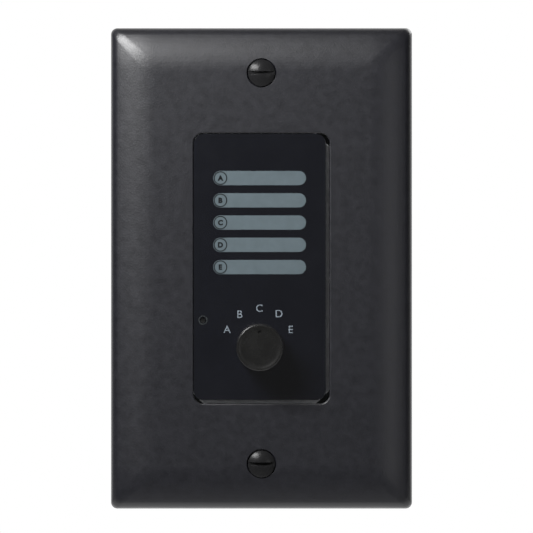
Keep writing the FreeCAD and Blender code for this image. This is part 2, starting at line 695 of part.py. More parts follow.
def knob_clip():
    """Bowed leaf spring between the shaft's flat and the knob's flat."""
    middle_y = (KNOB_FACE + KNOB_CAP + KNOB_FOOT) / 2
    low = AXIS_Z + SHAFT_FLAT + KNOB_FIT
    faces = []
    for z in (low, low + CLIP_THICKNESS):
        start = V(AXIS_X - CLIP_WIDTH / 2, middle_y - CLIP_LENGTH / 2, z)
        crest = V(AXIS_X - CLIP_WIDTH / 2, middle_y, z + CLIP_BOW)
        end = V(AXIS_X - CLIP_WIDTH / 2, middle_y + CLIP_LENGTH / 2, z)
        faces.append((start, crest, end))
    under, over = faces
    edges = [Part.Arc(*under).toShape(), Part.makeLine(under[2], over[2])]
    edges += [Part.Arc(*reversed(over)).toShape(), Part.makeLine(over[0], under[0])]
    return prism(Part.Wire(edges), V(CLIP_WIDTH, 0, 0))


def switch_clamp():
    """Sheet-metal clamp: front plate, locating tab, and four claws folded behind the contact base."""
    outer = SWITCH_SIZE / 2 + CLAMP_FIT + CLAMP_SHEET
    pieces = [block(2 * outer, SWITCH_SIZE, CHASSIS_BACK, FLANGE_FRONT, 0.0, AXIS_X, AXIS_Z)]
    tab_x = AXIS_X + TAB_OFFSET
    pieces.append(block(CLAMP_SHEET, TAB_WIDTH, CHASSIS_BACK - TAB_LENGTH, FLANGE_FRONT, 0.0, tab_x, AXIS_Z))
    claw_end = STATOR_BACK + CLAMP_SHEET
    grip = CLAMP_FIT + CLAMP_SHEET + CLAW_GRIP
    for side in (-1, 1):
        leg_x = AXIS_X + side * (outer - CLAMP_SHEET / 2)
        grip_x = AXIS_X + side * (outer - grip / 2)
        for end in (-1, 1):
            z = AXIS_Z + end * CLAW_OFFSET
            pieces.append(block(CLAMP_SHEET, CLAW_WIDTH, CHASSIS_BACK, claw_end, 0.0, leg_x, z))
            pieces.append(block(grip, CLAW_WIDTH, STATOR_BACK, claw_end, 0.0, grip_x, z))
    clamp = joined(pieces)
    return clamp.cut(rod(BUSHING_RADIUS + CLAMP_FIT, -FREE, FLANGE_FRONT + BITE, AXIS_X, AXIS_Z))


def switch_bushing():
    """Front bearing of the switch: a sleeve on a square flange behind the clamp."""
    flange = block(SWITCH_SIZE, SWITCH_SIZE, FLANGE_FRONT, HOUSING_FRONT, 0.0, AXIS_X, AXIS_Z)
    sleeve = rod(BUSHING_RADIUS, CHASSIS_BACK - BUSHING_LENGTH, FLANGE_FRONT + BITE, AXIS_X, AXIS_Z)
    return joined([flange, sleeve]).cut(rod(SHAFT_RADIUS + SHAFT_FIT, -FREE, FREE, AXIS_X, AXIS_Z))


def bushing_nut():
    """Thin hexagonal nut on the bushing."""
    back = CHASSIS_FRONT - WASHER_THICKNESS
    nut = hexagon(NUT_ACROSS_FLATS, back - NUT_THICKNESS, back, AXIS_X, AXIS_Z)
    return nut.cut(rod(BUSHING_RADIUS + THREAD_GAP, -FREE, FREE, AXIS_X, AXIS_Z))


def lock_washer():
    """Split spring washer between nut and chassis."""
    front = CHASSIS_FRONT - WASHER_THICKNESS
    ring = rod(WASHER_RADIUS, front, CHASSIS_FRONT, AXIS_X, AXIS_Z)
    ring = ring.cut(rod(BUSHING_RADIUS + THREAD_GAP, -FREE, FREE, AXIS_X, AXIS_Z))
    slit_z = AXIS_Z + WASHER_RADIUS
    return ring.cut(block(WASHER_SLIT, 2 * WASHER_RADIUS, -FREE, FREE, 0.0, AXIS_X, slit_z))


def switch_housing():
    """Moulded switch body: detent track, stop window and wiper chamber, open at both ends."""
    body = block(SWITCH_SIZE, SWITCH_SIZE, HOUSING_FRONT, HOUSING_BACK, 0.0, AXIS_X, AXIS_Z)
    hollows = [rod(TRACK_RADIUS, HOUSING_FRONT - OVER, LEDGE_FRONT, AXIS_X, AXIS_Z)]
    scallop_circle = TRACK_RADIUS + SCALLOP_DEPTH - SCALLOP_RADIUS
    for angle in position_angles():
        for side_deg in (-90.0, 90.0):
            centre = around(scallop_circle, angle + side_deg, 0.0, AXIS_X, AXIS_Z)
            hollows.append(rod(SCALLOP_RADIUS, HOUSING_FRONT - OVER, LEDGE_FRONT, centre.x, centre.z))
    hollows.append(rod(HUB_RADIUS + HUB_GAP, LEDGE_FRONT - BITE, LEDGE_BACK + BITE, AXIS_X, AXIS_Z))
    window = TURN_LIMIT_DEG + STOP_LUG_HALF_DEG + STOP_GAP_DEG
    hollows.append(sector(STOP_LUG_RADIUS + STOP_GAP, 180.0, window, LEDGE_FRONT - BITE, LEDGE_BACK + BITE))
    hollows.append(block(WIPER_CHAMBER, WIPER_CHAMBER, LEDGE_BACK, HOUSING_BACK + OVER, 0.0, AXIS_X, AXIS_Z))
    return body.cut(joined(hollows))


def switch_rotor():
    """D shaft, rotor disc with its cross channel, stop lug, wiper seat and rear pilot in one piece."""
    shaft = rod(SHAFT_RADIUS, KNOB_FACE + KNOB_CAP + KNOB_FIT, ROTOR_FRONT + BITE, AXIS_X, AXIS_Z)
    flat_end = CHASSIS_BACK - BUSHING_LENGTH - KNOB_FIT
    shaft = shaft.cut(block(FREE, FREE, -FREE, flat_end, 0.0, AXIS_X, AXIS_Z + SHAFT_FLAT + FREE / 2))
    disc = rod(ROTOR_RADIUS, ROTOR_FRONT, ROTOR_BACK, AXIS_X, AXIS_Z)
    hub = rod(HUB_RADIUS, ROTOR_BACK - BITE, HUB_BACK, AXIS_X, AXIS_Z)
    lug = sector(STOP_LUG_RADIUS, 180.0, STOP_LUG_HALF_DEG, ROTOR_BACK - BITE, LEDGE_BACK - AXIAL_PLAY)
    seat_back = HUB_BACK + WIPER_SEAT_HEIGHT
    seat = block(WIPER_SEAT, WIPER_SEAT, HUB_BACK - BITE, seat_back, 0.0, AXIS_X, AXIS_Z)
    pilot = rod(PILOT_RADIUS, seat_back - BITE, STATOR_BACK - STATOR_FLOOR - AXIAL_PLAY, AXIS_X, AXIS_Z)
    rotor = joined([shaft, disc, hub, lug, seat, pilot])
    half = PLUNGER_SIZE / 2 + PLUNGER_FIT
    return rotor.cut(block(FREE, 2 * half, PLUNGER_MIDDLE - half, PLUNGER_MIDDLE + half, 0.0, AXIS_X, AXIS_Z))


def detent_plunger(side):
    """Sliding detent plunger, its round nose towards the scalloped track."""
    half = PLUNGER_SIZE / 2
    nose_x = AXIS_X + side * (PLUNGER_TIP - half)
    inner_x = AXIS_X + side * (PLUNGER_TIP - PLUNGER_LENGTH)
    front = PLUNGER_MIDDLE - half
    tip = V(nose_x + side * half, front, AXIS_Z)
    arc = [V(nose_x, front, AXIS_Z + half), tip, V(nose_x, front, AXIS_Z - half)]
    base = [V(inner_x, front, AXIS_Z - half), V(inner_x, front, AXIS_Z + half)]
    edges = [Part.Arc(*arc).toShape(), Part.makeLine(arc[2], base[0])]
    edges += [Part.makeLine(base[0], base[1]), Part.makeLine(base[1], arc[0])]
    return prism(Part.Wire(edges), V(0, PLUNGER_SIZE, 0))


def detent_spring():
    """Detent spring between the plungers, drawn as the rod that its closed turns fill."""
    half = PLUNGER_TIP - PLUNGER_LENGTH
    return Part.makeCylinder(SPRING_RADIUS, 2 * half, V(AXIS_X - half, PLUNGER_MIDDLE, AXIS_Z), V(1, 0, 0))


def wiper_contact():
    """Sprung bridge on the rotor: one nose on the common ring, one on a position contact."""
    opening = WIPER_SEAT + 2 * WIPER_FIT
    frame = opening + 2 * WIPER_RING
    pieces = [block(frame, frame, HUB_BACK, WIPER_BACK, 0.0, AXIS_X, AXIS_Z)]
    nose_half = WIPER_NOSE_LENGTH / 2
    nose_end = HOUSING_BACK - CONTACT_HEIGHT - WIPER_GAP
    for offset in (CONTACT_CIRCLE, -COMMON_CIRCLE):
        z = AXIS_Z + offset
        far = offset + math.copysign(nose_half, offset)
        pieces.append(block(WIPER_ARM_WIDTH, abs(far), HUB_BACK, WIPER_BACK, 0.0, AXIS_X, AXIS_Z + far / 2))
        side = AXIS_X - WIPER_ARM_WIDTH / 2
        nose = [V(side, WIPER_BACK, z - nose_half), V(side, WIPER_BACK, z + nose_half), V(side, nose_end, z)]
        pieces.append(prism(Part.makePolygon(nose + nose[:1]), V(WIPER_ARM_WIDTH, 0, 0)))
    wiper = joined(pieces)
    return wiper.cut(block(opening, opening, HUB_BACK - OVER, WIPER_BACK + OVER, 0.0, AXIS_X, AXIS_Z))


def contact_places():
    """Centres of the position contacts' pins, then of the common ring's pin."""
    places = [around(CONTACT_CIRCLE, angle, 0.0, AXIS_X, AXIS_Z) for angle in position_angles()]
    places.append(around(COMMON_CIRCLE, 180.0, 0.0, AXIS_X, AXIS_Z))
    return [(place.x, place.z) for place in places]


def switch_stator():
    """Contact base: closes the housing, guides the rotor's pilot and stands on four feet."""
    pieces = [block(SWITCH_SIZE, SWITCH_SIZE, HOUSING_BACK, STATOR_BACK, 0.0, AXIS_X, AXIS_Z)]
    for quarter in range(4):
        foot = around(FOOT_OFFSET, 90.0 * quarter, 0.0, AXIS_X, AXIS_Z)
        pieces.append(block(FOOT_SIZE, FOOT_SIZE, STATOR_BACK - BITE, BOARD_FRONT, 0.0, foot.x, foot.z))
    base = joined(pieces)
    bore_end = STATOR_BACK - STATOR_FLOOR
    base = base.cut(rod(PILOT_RADIUS + PILOT_FIT, HOUSING_BACK - OVER, bore_end, AXIS_X, AXIS_Z))
    hole = PIN_SIZE + 2 * PIN_FIT
    for x, z in contact_places():
        base = base.cut(block(hole, hole, HOUSING_BACK - OVER, STATOR_BACK + OVER, 0.0, x, z))
    return base


def contact_pin(x, z):
    """Square solder pin of one contact."""
    return block(PIN_SIZE, PIN_SIZE, HOUSING_BACK - CONTACT_HEIGHT, BOARD_BACK + PIN_TAIL, 0.0, x, z)


def switch_contacts():
    """Five position contacts and the common ring, each with its solder pin."""
    front = HOUSING_BACK - CONTACT_HEIGHT
    inner = CONTACT_CIRCLE - CONTACT_LENGTH / 2
    outer = CONTACT_CIRCLE + CONTACT_LENGTH / 2
    places = contact_places()
    solids = []
    for angle, (x, z) in zip(position_angles(), places):
        turns = (angle - CONTACT_HALF_DEG, angle + CONTACT_HALF_DEG)
        corners = [around(inner, turn, 0.0, AXIS_X, AXIS_Z) for turn in turns]
        corners += [around(outer, turn, 0.0, AXIS_X, AXIS_Z) for turn in reversed(turns)]
        pad = slab([(corner.x, corner.z) for corner in corners], front, HOUSING_BACK)
        solids.append(joined([pad, contact_pin(x, z)]))
    ring = hexagon(COMMON_OUTER, front, HOUSING_BACK, AXIS_X, AXIS_Z)
    ring = ring.cut(hexagon(COMMON_INNER, front - OVER, HOUSING_BACK + OVER, AXIS_X, AXIS_Z))
    solids.append(joined([ring, contact_pin(*places[-1])]))
    return solids


def board_standoff(x, z):
    """Hexagonal clinch standoff: spigot in the chassis, threaded bore towards the board."""
    post = hexagon(STANDOFF_ACROSS_FLATS, CHASSIS_BACK, BOARD_FRONT, x, z)
    spigot = hexagon(STANDOFF_SPIGOT, CHASSIS_BACK - STANDOFF_SPIGOT_LENGTH, CHASSIS_BACK + BITE, x, z)
    bore = rod(BOARD_SCREW_RADIUS + THREAD_GAP, BOARD_FRONT - STANDOFF_BORE_DEPTH, BOARD_FRONT + OVER, x, z)
    return joined([post, spigot]).cut(bore)


def board_screw(x, z):
    """Hexagon-head screw that holds the board on its standoff."""
    head = hexagon(BOARD_HEAD_ACROSS_FLATS, BOARD_BACK, BOARD_BACK + BOARD_HEAD_HEIGHT, x, z)
    return joined([head, rod(BOARD_SCREW_RADIUS, BOARD_BACK - BOARD_SCREW_LENGTH, BOARD_BACK + BITE, x, z)])


def wire_run():
    """Height of the jack wires' run behind the port, at their centre."""
    return PORT_LOW - SLOT_DEPTH + WIRE_GAP + WIRE_WIDTH / 2


def wire_columns():
    """Sideways place and tail height of each jack wire, its tails in two rows."""
    columns = []
    for index in range(WIRE_COUNT):
        x = WIRE_PITCH * (index - (WIRE_COUNT - 1) / 2)
        columns.append((x, wire_run() + WIRE_TAIL_ROW * (index % 2)))
    return columns


def shield_leg_places():
    """Centres of the two shield legs in the plane of the board."""
    x = JACK_WIDTH / 2 - SHIELD_THICKNESS / 2
    return [(-x, JACK_Z), (x, JACK_Z)]


def circuit_board():
    """Board with a hole for each screw, switch pin, jack wire and shield leg."""
    board = block(BOARD_WIDTH, BOARD_HEIGHT, BOARD_FRONT, BOARD_BACK)
    holes = []
    for x, z in standoff_places():
        holes.append(rod(BOARD_SCREW_RADIUS + SCREW_HOLE_GAP, BOARD_FRONT - OVER, BOARD_BACK + OVER, x, z))
    pin_hole = PIN_SIZE + 2 * WIRE_GAP
    for x, z in contact_places():
        holes.append(block(pin_hole, pin_hole, BOARD_FRONT - OVER, BOARD_BACK + OVER, 0.0, x, z))
    wire_hole = WIRE_WIDTH + 2 * WIRE_GAP
    for x, z in wire_columns():
        holes.append(block(wire_hole, wire_hole, BOARD_FRONT - OVER, BOARD_BACK + OVER, 0.0, x, z))
    leg_hole = SHIELD_LEG_WIDTH + 2 * WIRE_GAP
    leg_slit = SHIELD_THICKNESS + 2 * WIRE_GAP
    for x, z in shield_leg_places():
        holes.append(block(leg_slit, leg_hole, BOARD_FRONT - OVER, BOARD_BACK + OVER, 0.0, x, z))
    return board.cut(Part.makeCompound(holes))


def chip_resistor(index):
    """One resistor of the ladder, with raised end caps."""
    x = RESISTOR_PITCH * (index - (RESISTOR_COUNT - 1) / 2)
    top = BOARD_BACK + RESISTOR_HEIGHT
    pieces = [block(RESISTOR_WIDTH, RESISTOR_LENGTH, BOARD_BACK, top, 0.0, x, RESISTOR_Z)]
    for end in (-1, 1):
        z = RESISTOR_Z + end * (RESISTOR_LENGTH - RESISTOR_CAP) / 2
        pieces.append(block(RESISTOR_WIDTH, RESISTOR_CAP, BOARD_BACK, top + RESISTOR_CAP_STEP, 0.0, x, z))
    return joined(pieces)


def jack_housing():
    """Moulded jack body with its port, latch slot and a slot for each wire."""
    width = JACK_WIDTH - 2 * JACK_SKIN
    face = JACK_MOUTH - JACK_SKIN
    body = upright_box(width, BOARD_BACK, face, JACK_LOW + JACK_SKIN, JACK_LOW + JACK_HEIGHT - JACK_SKIN)
    beyond = JACK_MOUTH + OVER
    latch_top = PORT_HIGH + LATCH_HEIGHT
    hollows = [upright_box(PORT_WIDTH, PORT_END, beyond, PORT_LOW, PORT_HIGH)]
    hollows.append(upright_box(LATCH_WIDTH, PORT_END, beyond, PORT_HIGH - BITE, latch_top))
    hollows.append(upright_box(LATCH_POCKET_WIDTH, PORT_END, face - LATCH_LIP, PORT_HIGH - BITE, latch_top))
    slot_half = WIRE_WIDTH / 2 + WIRE_GAP
    slot_front = JACK_MOUTH - WIRE_BEND_DEPTH
    for x, tail_z in wire_columns():
        low = wire_run() - slot_half
        high = wire_run() + slot_half
        hollows.append(upright_box(2 * slot_half, BOARD_BACK - OVER, slot_front, low, high, x))
        hollows.append(upright_box(2 * slot_half, PORT_END, slot_front, low, PORT_LOW + BITE, x))
        if tail_z > wire_run():
            foot_back = BOARD_BACK + SLOT_DEPTH
            high = tail_z + slot_half
            hollows.append(upright_box(2 * slot_half, BOARD_BACK - OVER, foot_back, low, high, x))
    return body.cut(joined(hollows))


def jack_shield():
    """Folded sheet cover round the jack, open towards the board, with two solder legs."""
    high = JACK_LOW + JACK_HEIGHT
    shell = upright_box(JACK_WIDTH, BOARD_BACK, JACK_MOUTH, JACK_LOW, high)
    inner_width = JACK_WIDTH - 2 * SHIELD_THICKNESS
    inner_mouth = JACK_MOUTH - SHIELD_THICKNESS
    inner_low = JACK_LOW + SHIELD_THICKNESS
    inner_high = high - SHIELD_THICKNESS
    shell = shell.cut(upright_box(inner_width, BOARD_BACK - OVER, inner_mouth, inner_low, inner_high))
    face = JACK_MOUTH - OVER
    beyond = JACK_MOUTH + OVER
    shell = shell.cut(upright_box(PORT_WIDTH, face, beyond, PORT_LOW, PORT_HIGH))
    shell = shell.cut(upright_box(LATCH_WIDTH, face, beyond, PORT_HIGH - BITE, PORT_HIGH + LATCH_HEIGHT))
    pieces = [shell]
    for x, z in shield_leg_places():
        leg_end = BOARD_FRONT - WIRE_TAIL
        pieces.append(block(SHIELD_THICKNESS, SHIELD_LEG_WIDTH, leg_end, BOARD_BACK + BITE, 0.0, x, z))
    return joined(pieces)


def jack_wire(x, tail_z):
    """One sprung wire: solder tail, foot, run along its slot, and the blade that slants into the port."""
    half = WIRE_WIDTH / 2
    foot_front = BOARD_BACK + SLOT_DEPTH / 2
    foot_back = foot_front + WIRE_WIDTH
    low = wire_run() - half
    bend = JACK_MOUTH - WIRE_BEND_DEPTH - WIRE_GAP
    pieces = [upright_box(WIRE_WIDTH, BOARD_FRONT - WIRE_TAIL, foot_back, tail_z - half, tail_z + half, x)]
    pieces.append(upright_box(WIRE_WIDTH, foot_front, foot_back, low, tail_z + half, x))
    pieces.append(upright_box(WIRE_WIDTH, foot_front, bend, low, low + WIRE_WIDTH, x))
    tip_y = PORT_END + WIRE_TIP_LIFT
    tip_z = PORT_LOW + WIRE_RISE
    side = x - half
    points = [V(side, bend, low), V(side, bend - WIRE_WIDTH, low + WIRE_WIDTH), V(side, tip_y, tip_z)]
    points += [V(side, tip_y, tip_z - WIRE_WIDTH), V(side, bend - 3 * WIRE_WIDTH, low)]
    pieces.append(prism(Part.makePolygon(points + points[:1]), V(WIRE_WIDTH, 0, 0)))
    return joined(pieces)


def main():
    """Build every sub-part and write it."""
    os.makedirs("parts", exist_ok=True)
    ends = (-1, 1)
    save("wall_plate", wall_plate())
    save("plate_screws", *[plate_screw(end * PLATE_SCREW_SPACING / 2) for end in ends])
    save("box_screws", *[box_screw(end * BOX_SCREW_SPACING / 2) for end in ends])
    save("chassis_yoke", chassis_yoke())
    save("front_panel", front_panel())
    save("panel_adhesive", panel_adhesive())
    save("label_fields", *[label_field(z) for z in field_places()])
    save("light_pipe", light_pipe())
    save("status_led", status_led())
    save("selector_knob", selector_knob())
    save("knob_clip", knob_clip())
    save("switch_clamp", switch_clamp())
    save("switch_bushing", switch_bushing())
    save("bushing_nut", bushing_nut())
    save("lock_washer", lock_washer())
    save("switch_housing", switch_housing())
    save("switch_rotor", switch_rotor())
    save("detent_plungers", *[detent_plunger(side) for side in ends])
    save("detent_spring", detent_spring())
    save("wiper_contact", wiper_contact())
    save("switch_stator", switch_stator())
    save("switch_contacts", *switch_contacts())
    save("circuit_board", circuit_board())
    save("board_standoffs", *[board_standoff(x, z) for x, z in standoff_places()])
    save("board_screws", *[board_screw(x, z) for x, z in standoff_places()])
    save("chip_resistors", *[chip_resistor(index) for index in range(RESISTOR_COUNT)])
    save("jack_housing", jack_housing())
    save("jack_shield", jack_shield())
    save("jack_contacts", *[jack_wire(x, z) for x, z in wire_columns()])


main()
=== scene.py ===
import logging
import math
from contextlib import contextmanager
from dataclasses import dataclass
from enum import Enum
from functools import cache
from typing import Any, Iterator, Sequence

import bmesh
import bpy
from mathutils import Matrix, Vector


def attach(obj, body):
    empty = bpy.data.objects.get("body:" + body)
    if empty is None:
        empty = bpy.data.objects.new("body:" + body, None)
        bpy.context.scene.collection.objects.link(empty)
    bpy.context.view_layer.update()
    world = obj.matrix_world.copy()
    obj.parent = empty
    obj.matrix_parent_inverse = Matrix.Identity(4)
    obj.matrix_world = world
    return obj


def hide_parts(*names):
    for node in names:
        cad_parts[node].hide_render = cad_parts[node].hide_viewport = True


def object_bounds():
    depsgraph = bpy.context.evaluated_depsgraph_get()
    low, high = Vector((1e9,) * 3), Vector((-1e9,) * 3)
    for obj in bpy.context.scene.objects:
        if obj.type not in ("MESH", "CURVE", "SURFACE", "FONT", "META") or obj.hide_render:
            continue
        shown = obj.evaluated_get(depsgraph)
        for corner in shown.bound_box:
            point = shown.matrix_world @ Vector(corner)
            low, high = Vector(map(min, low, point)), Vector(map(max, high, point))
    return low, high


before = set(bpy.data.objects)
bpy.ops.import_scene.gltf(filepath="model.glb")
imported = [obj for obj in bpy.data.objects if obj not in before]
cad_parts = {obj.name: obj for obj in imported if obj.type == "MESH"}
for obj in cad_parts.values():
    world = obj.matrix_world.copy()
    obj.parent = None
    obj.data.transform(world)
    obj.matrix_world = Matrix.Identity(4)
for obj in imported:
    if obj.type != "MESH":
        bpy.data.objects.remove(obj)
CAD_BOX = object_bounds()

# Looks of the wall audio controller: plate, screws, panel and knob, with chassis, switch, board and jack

MM = 0.001
SHARP_ANGLE = math.radians(34.0)
FLAT_ANGLE = math.radians(0.5)
SAME_PLACE = 0.002 * MM
FACE_WEIGHT = 60  # how strongly large faces set the shading at their edges
ROUND_STEPS = 2
LETTER_RELIEF = 0.004  # to either side, as a share of the type size
LETTER_STEPS = 6
PAST = 1.0  # how far a cutting tool runs past what it cuts, in millimetres
LOG = logging.getLogger("controller")

Colour = tuple[float, float, float]
Triple = tuple[float, float, float]
Point = tuple[float, float]
Piece = bpy.types.Object
Socket = bpy.types.NodeSocket
Number = float | Socket
Paint = Colour | Socket


class Part(Enum):
    """Bodies that pieces ride on."""

    CHASSIS = "chassis"
    SELECTOR = "selector"


class Along(Enum):
    """Direction in which a metal surface was rolled or brushed, as the stretch of its pattern."""

    X = (0.04, 1.0, 1.0)
    Y = (1.0, 0.04, 1.0)
    Z = (1.0, 1.0, 0.04)


class Sum(Enum):
    """Sums that a Math node works out."""

    PLUS = "ADD"
    TIMES = "MULTIPLY"
    LARGER = "MAXIMUM"


class Meeting(Enum):
    """What a second body does to a piece that it meets."""

    CUT = "DIFFERENCE"
    FUSE = "UNION"


def shade(colour: Colour, factor: float) -> Colour:
    """Return the colour made lighter or darker by a factor."""
    return tuple(min(1.0, channel * factor) for channel in colour)


class Wiring:
    """Adds, sets and joins the nodes of one shader tree."""

    MIX_SHARE, MIX_FIRST, MIX_SECOND, MIX_RESULT = 0, 6, 7, 2

    def __init__(self, tree: bpy.types.NodeTree) -> None:
        """Keep the tree that nodes are added to.

        Args:
            tree: Node tree of a material or a node group.
        """
        self.tree = tree

    def feed(self, node: bpy.types.Node, values: dict[str | int, Any]) -> None:
        """Set the inputs of a node, or join them to what feeds them.

        Args:
            node: Node that is fed.
            values: Input name or number to a plain value or an output socket.
        """
        for name, value in values.items():
            if isinstance(value, Socket):
                self.tree.links.new(value, node.inputs[name])
            else:
                node.inputs[name].default_value = value

    def add(self, kind: str, values: dict[str | int, Any] | None = None, **settings: Any) -> bpy.types.Node:
        """Add a node, set it up and feed its inputs.

        Args:
            kind: Type name of the node.
            values: Input name or number to a plain value or an output socket.
            **settings: Properties of the node itself.

        Returns:
            The new node.
        """
        node = self.tree.nodes.new(kind)
        for name, value in settings.items():
            setattr(node, name, value)
        self.feed(node, values or {})
        return node

    def math(self, operation: Sum, first: Number, second: Number) -> Socket:
        """Add a Math node.

        Args:
            operation: Sum that the node works out.
            first: First value or socket.
            second: Second value or socket.

        Returns:
            The result socket.
        """
        return self.add("ShaderNodeMath", {0: first, 1: second}, operation=operation.value).outputs[0]

    def noise(
        self, vector: Socket, scale: Number, detail: float, roughness: float = 0.5, bend: float = 0.0
    ) -> Socket:
        """Add a noise pattern.

        Args:
            vector: Position socket.
            scale: Patches per millimetre, as a value or socket.
            detail: Number of finer layers.
            roughness: Strength of the finer layers.
            bend: Distortion of the pattern.

        Returns:
            The socket with the noise.
        """
        values = {"Vector": vector, "Scale": scale, "Detail": detail, "Roughness": roughness}
        return self.add("ShaderNodeTexNoise", values | {"Distortion": bend}).outputs[0]

    def spread(
        self, value: Socket, low: float, high: float, to_low: float = 0.0, to_high: float = 1.0
    ) -> Socket:
        """Map one range of values onto another.

        Args:
            value: Socket with the incoming value.
            low: Incoming value that becomes to_low.
            high: Incoming value that becomes to_high.
            to_low: Lowest result.
            to_high: Highest result.

        Returns:
            The result socket.
        """
        values = {"Value": value, "From Min": low, "From Max": high, "To Min": to_low, "To Max": to_high}
        return self.add("ShaderNodeMapRange", values).outputs["Result"]

    def blend(self, share: Socket, first: Paint, second: Paint) -> Socket:
        """Mix two colours.

        Args:
            share: Share of the second colour.
            first: Colour or socket at a share of 0.
            second: Colour or socket at a share of 1.

        Returns:
            The mixed colour.
        """
        first, second = [(*paint, 1.0) if isinstance(paint, tuple) else paint for paint in (first, second)]
        values = {self.MIX_SHARE: share, self.MIX_FIRST: first, self.MIX_SECOND: second}
        return self.add("ShaderNodeMix", values, data_type="RGBA").outputs[self.MIX_RESULT]


class Effects:
    """Shader node groups that several finishes share, each built once.

    A pair of numbers holds the values of a pattern that become 0 and 1.
    """

    CLOUDS = (0.3, 0.7)
    PIT_SHARE = 0.6
    SHARP_EDGE = (0.52, 0.62)
    RUBBED = (0.42, 0.62)
    LINES = (0.3, 0.7)
    STAINS = (0.35, 0.65)
    UPWARD = (0.15, 0.95)
    SPECKS = (0.4, 0.68)
    LEAST_FILM = 0.15

    @staticmethod
    def group(
        name: str, inputs: dict[str, float], outputs: Sequence[str]
    ) -> tuple[Wiring, bpy.types.NodeOutputs, bpy.types.Node]:
        """Start a node group with its named sockets and the surface position as its first input.

        Args:
            name: Name of the group.
            inputs: Name to first value of each further input.
            outputs: Names of the outputs.

        Returns:
            The wiring of the group, its input sockets by name and the node that takes its results.
        """
        tree = bpy.data.node_groups.new(name, "ShaderNodeTree")
        tree.interface.new_socket("Vector", in_out="INPUT", socket_type="NodeSocketVector")
        for label, value in inputs.items():
            socket = tree.interface.new_socket(label, in_out="INPUT", socket_type="NodeSocketFloat")
            socket.default_value = value
        for label in outputs:
            tree.interface.new_socket(label, in_out="OUTPUT", socket_type="NodeSocketFloat")
        wiring = Wiring(tree)
        return wiring, wiring.add("NodeGroupInput").outputs, wiring.add("NodeGroupOutput")

    @staticmethod
    @cache
    def moulded_grain() -> bpy.types.NodeTree:
        """Make fine spark-eroded grain with a slow cloudiness, for moulded plastics.

        Returns:
            The node group.
        """
        inputs = {"Grain": 9.0, "Cloud": 0.35}
        wiring, given, result = Effects.group("moulded_grain", inputs, ["Height", "Cloud"])
        fine = wiring.noise(given["Vector"], given["Grain"], detail=3.0)
        pits = wiring.add("ShaderNodeTexVoronoi", {"Vector": given["Vector"], "Scale": given["Grain"]})
        depth = wiring.math(Sum.TIMES, pits.outputs["Distance"], Effects.PIT_SHARE)
        cloud = wiring.noise(given["Vector"], given["Cloud"], detail=5.0, roughness=0.62)
        cloud = wiring.spread(cloud, *Effects.CLOUDS)
        wiring.feed(result, {"Height": wiring.math(Sum.PLUS, fine, depth), "Cloud": cloud})
        return wiring.tree

    @staticmethod
    @cache
    def edge_wear() -> bpy.types.NodeTree:
        """Make a broken-up mask along the outer edges, where hands and tools rub.

        Returns:
            The node group.
        """
        wiring, given, result = Effects.group("edge_wear", {"Amount": 0.5, "Breakup": 1.2}, ["Mask"])
        pointed = wiring.add("ShaderNodeNewGeometry").outputs["Pointiness"]
        edges = wiring.spread(pointed, *Effects.SHARP_EDGE)
        patches = wiring.noise(given["Vector"], given["Breakup"], detail=6.0, roughness=0.7)
        patches = wiring.spread(patches, *Effects.RUBBED)
        mask = wiring.math(Sum.TIMES, wiring.math(Sum.TIMES, edges, patches), given["Amount"])
        wiring.feed(result, {"Mask": mask})
        return wiring.tree

    @staticmethod
    @cache
    def drawn_lines() -> bpy.types.NodeTree:
        """Make the long fine lines that rolling or brushing leaves on metal, and slow stains.

        Returns:
            The node group.
        """
        wiring, given, result = Effects.group("drawn_lines", {"Lines": 14.0}, ["Lines", "Stain"])
        lines = wiring.noise(given["Vector"], given["Lines"], detail=4.0, roughness=0.75)
        stain = wiring.noise(given["Vector"], scale=0.5, detail=4.0, bend=0.6)
        lines, stain = wiring.spread(lines, *Effects.LINES), wiring.spread(stain, *Effects.STAINS)
        wiring.feed(result, {"Lines": lines, "Stain": stain})
        return wiring.tree

    @staticmethod
    @cache
    def settled_dust() -> bpy.types.NodeTree:
        """Make specks and a thin film of dust on surfaces that face upwards.

        Returns:
            The node group.
        """
        wiring, given, result = Effects.group("settled_dust", {"Amount": 0.3}, ["Mask"])
        normal = wiring.add("ShaderNodeNewGeometry").outputs["Normal"]
        upward = wiring.add("ShaderNodeSeparateXYZ", {0: normal}).outputs["Z"]
        facing = wiring.spread(upward, *Effects.UPWARD)
        specks = wiring.noise(given["Vector"], scale=2.2, detail=8.0, roughness=0.75)
        specks = wiring.spread(specks, *Effects.SPECKS, Effects.LEAST_FILM, 1.0)
        mask = wiring.math(Sum.TIMES, wiring.math(Sum.TIMES, facing, specks), given["Amount"])
        wiring.feed(result, {"Mask": mask})
        return wiring.tree


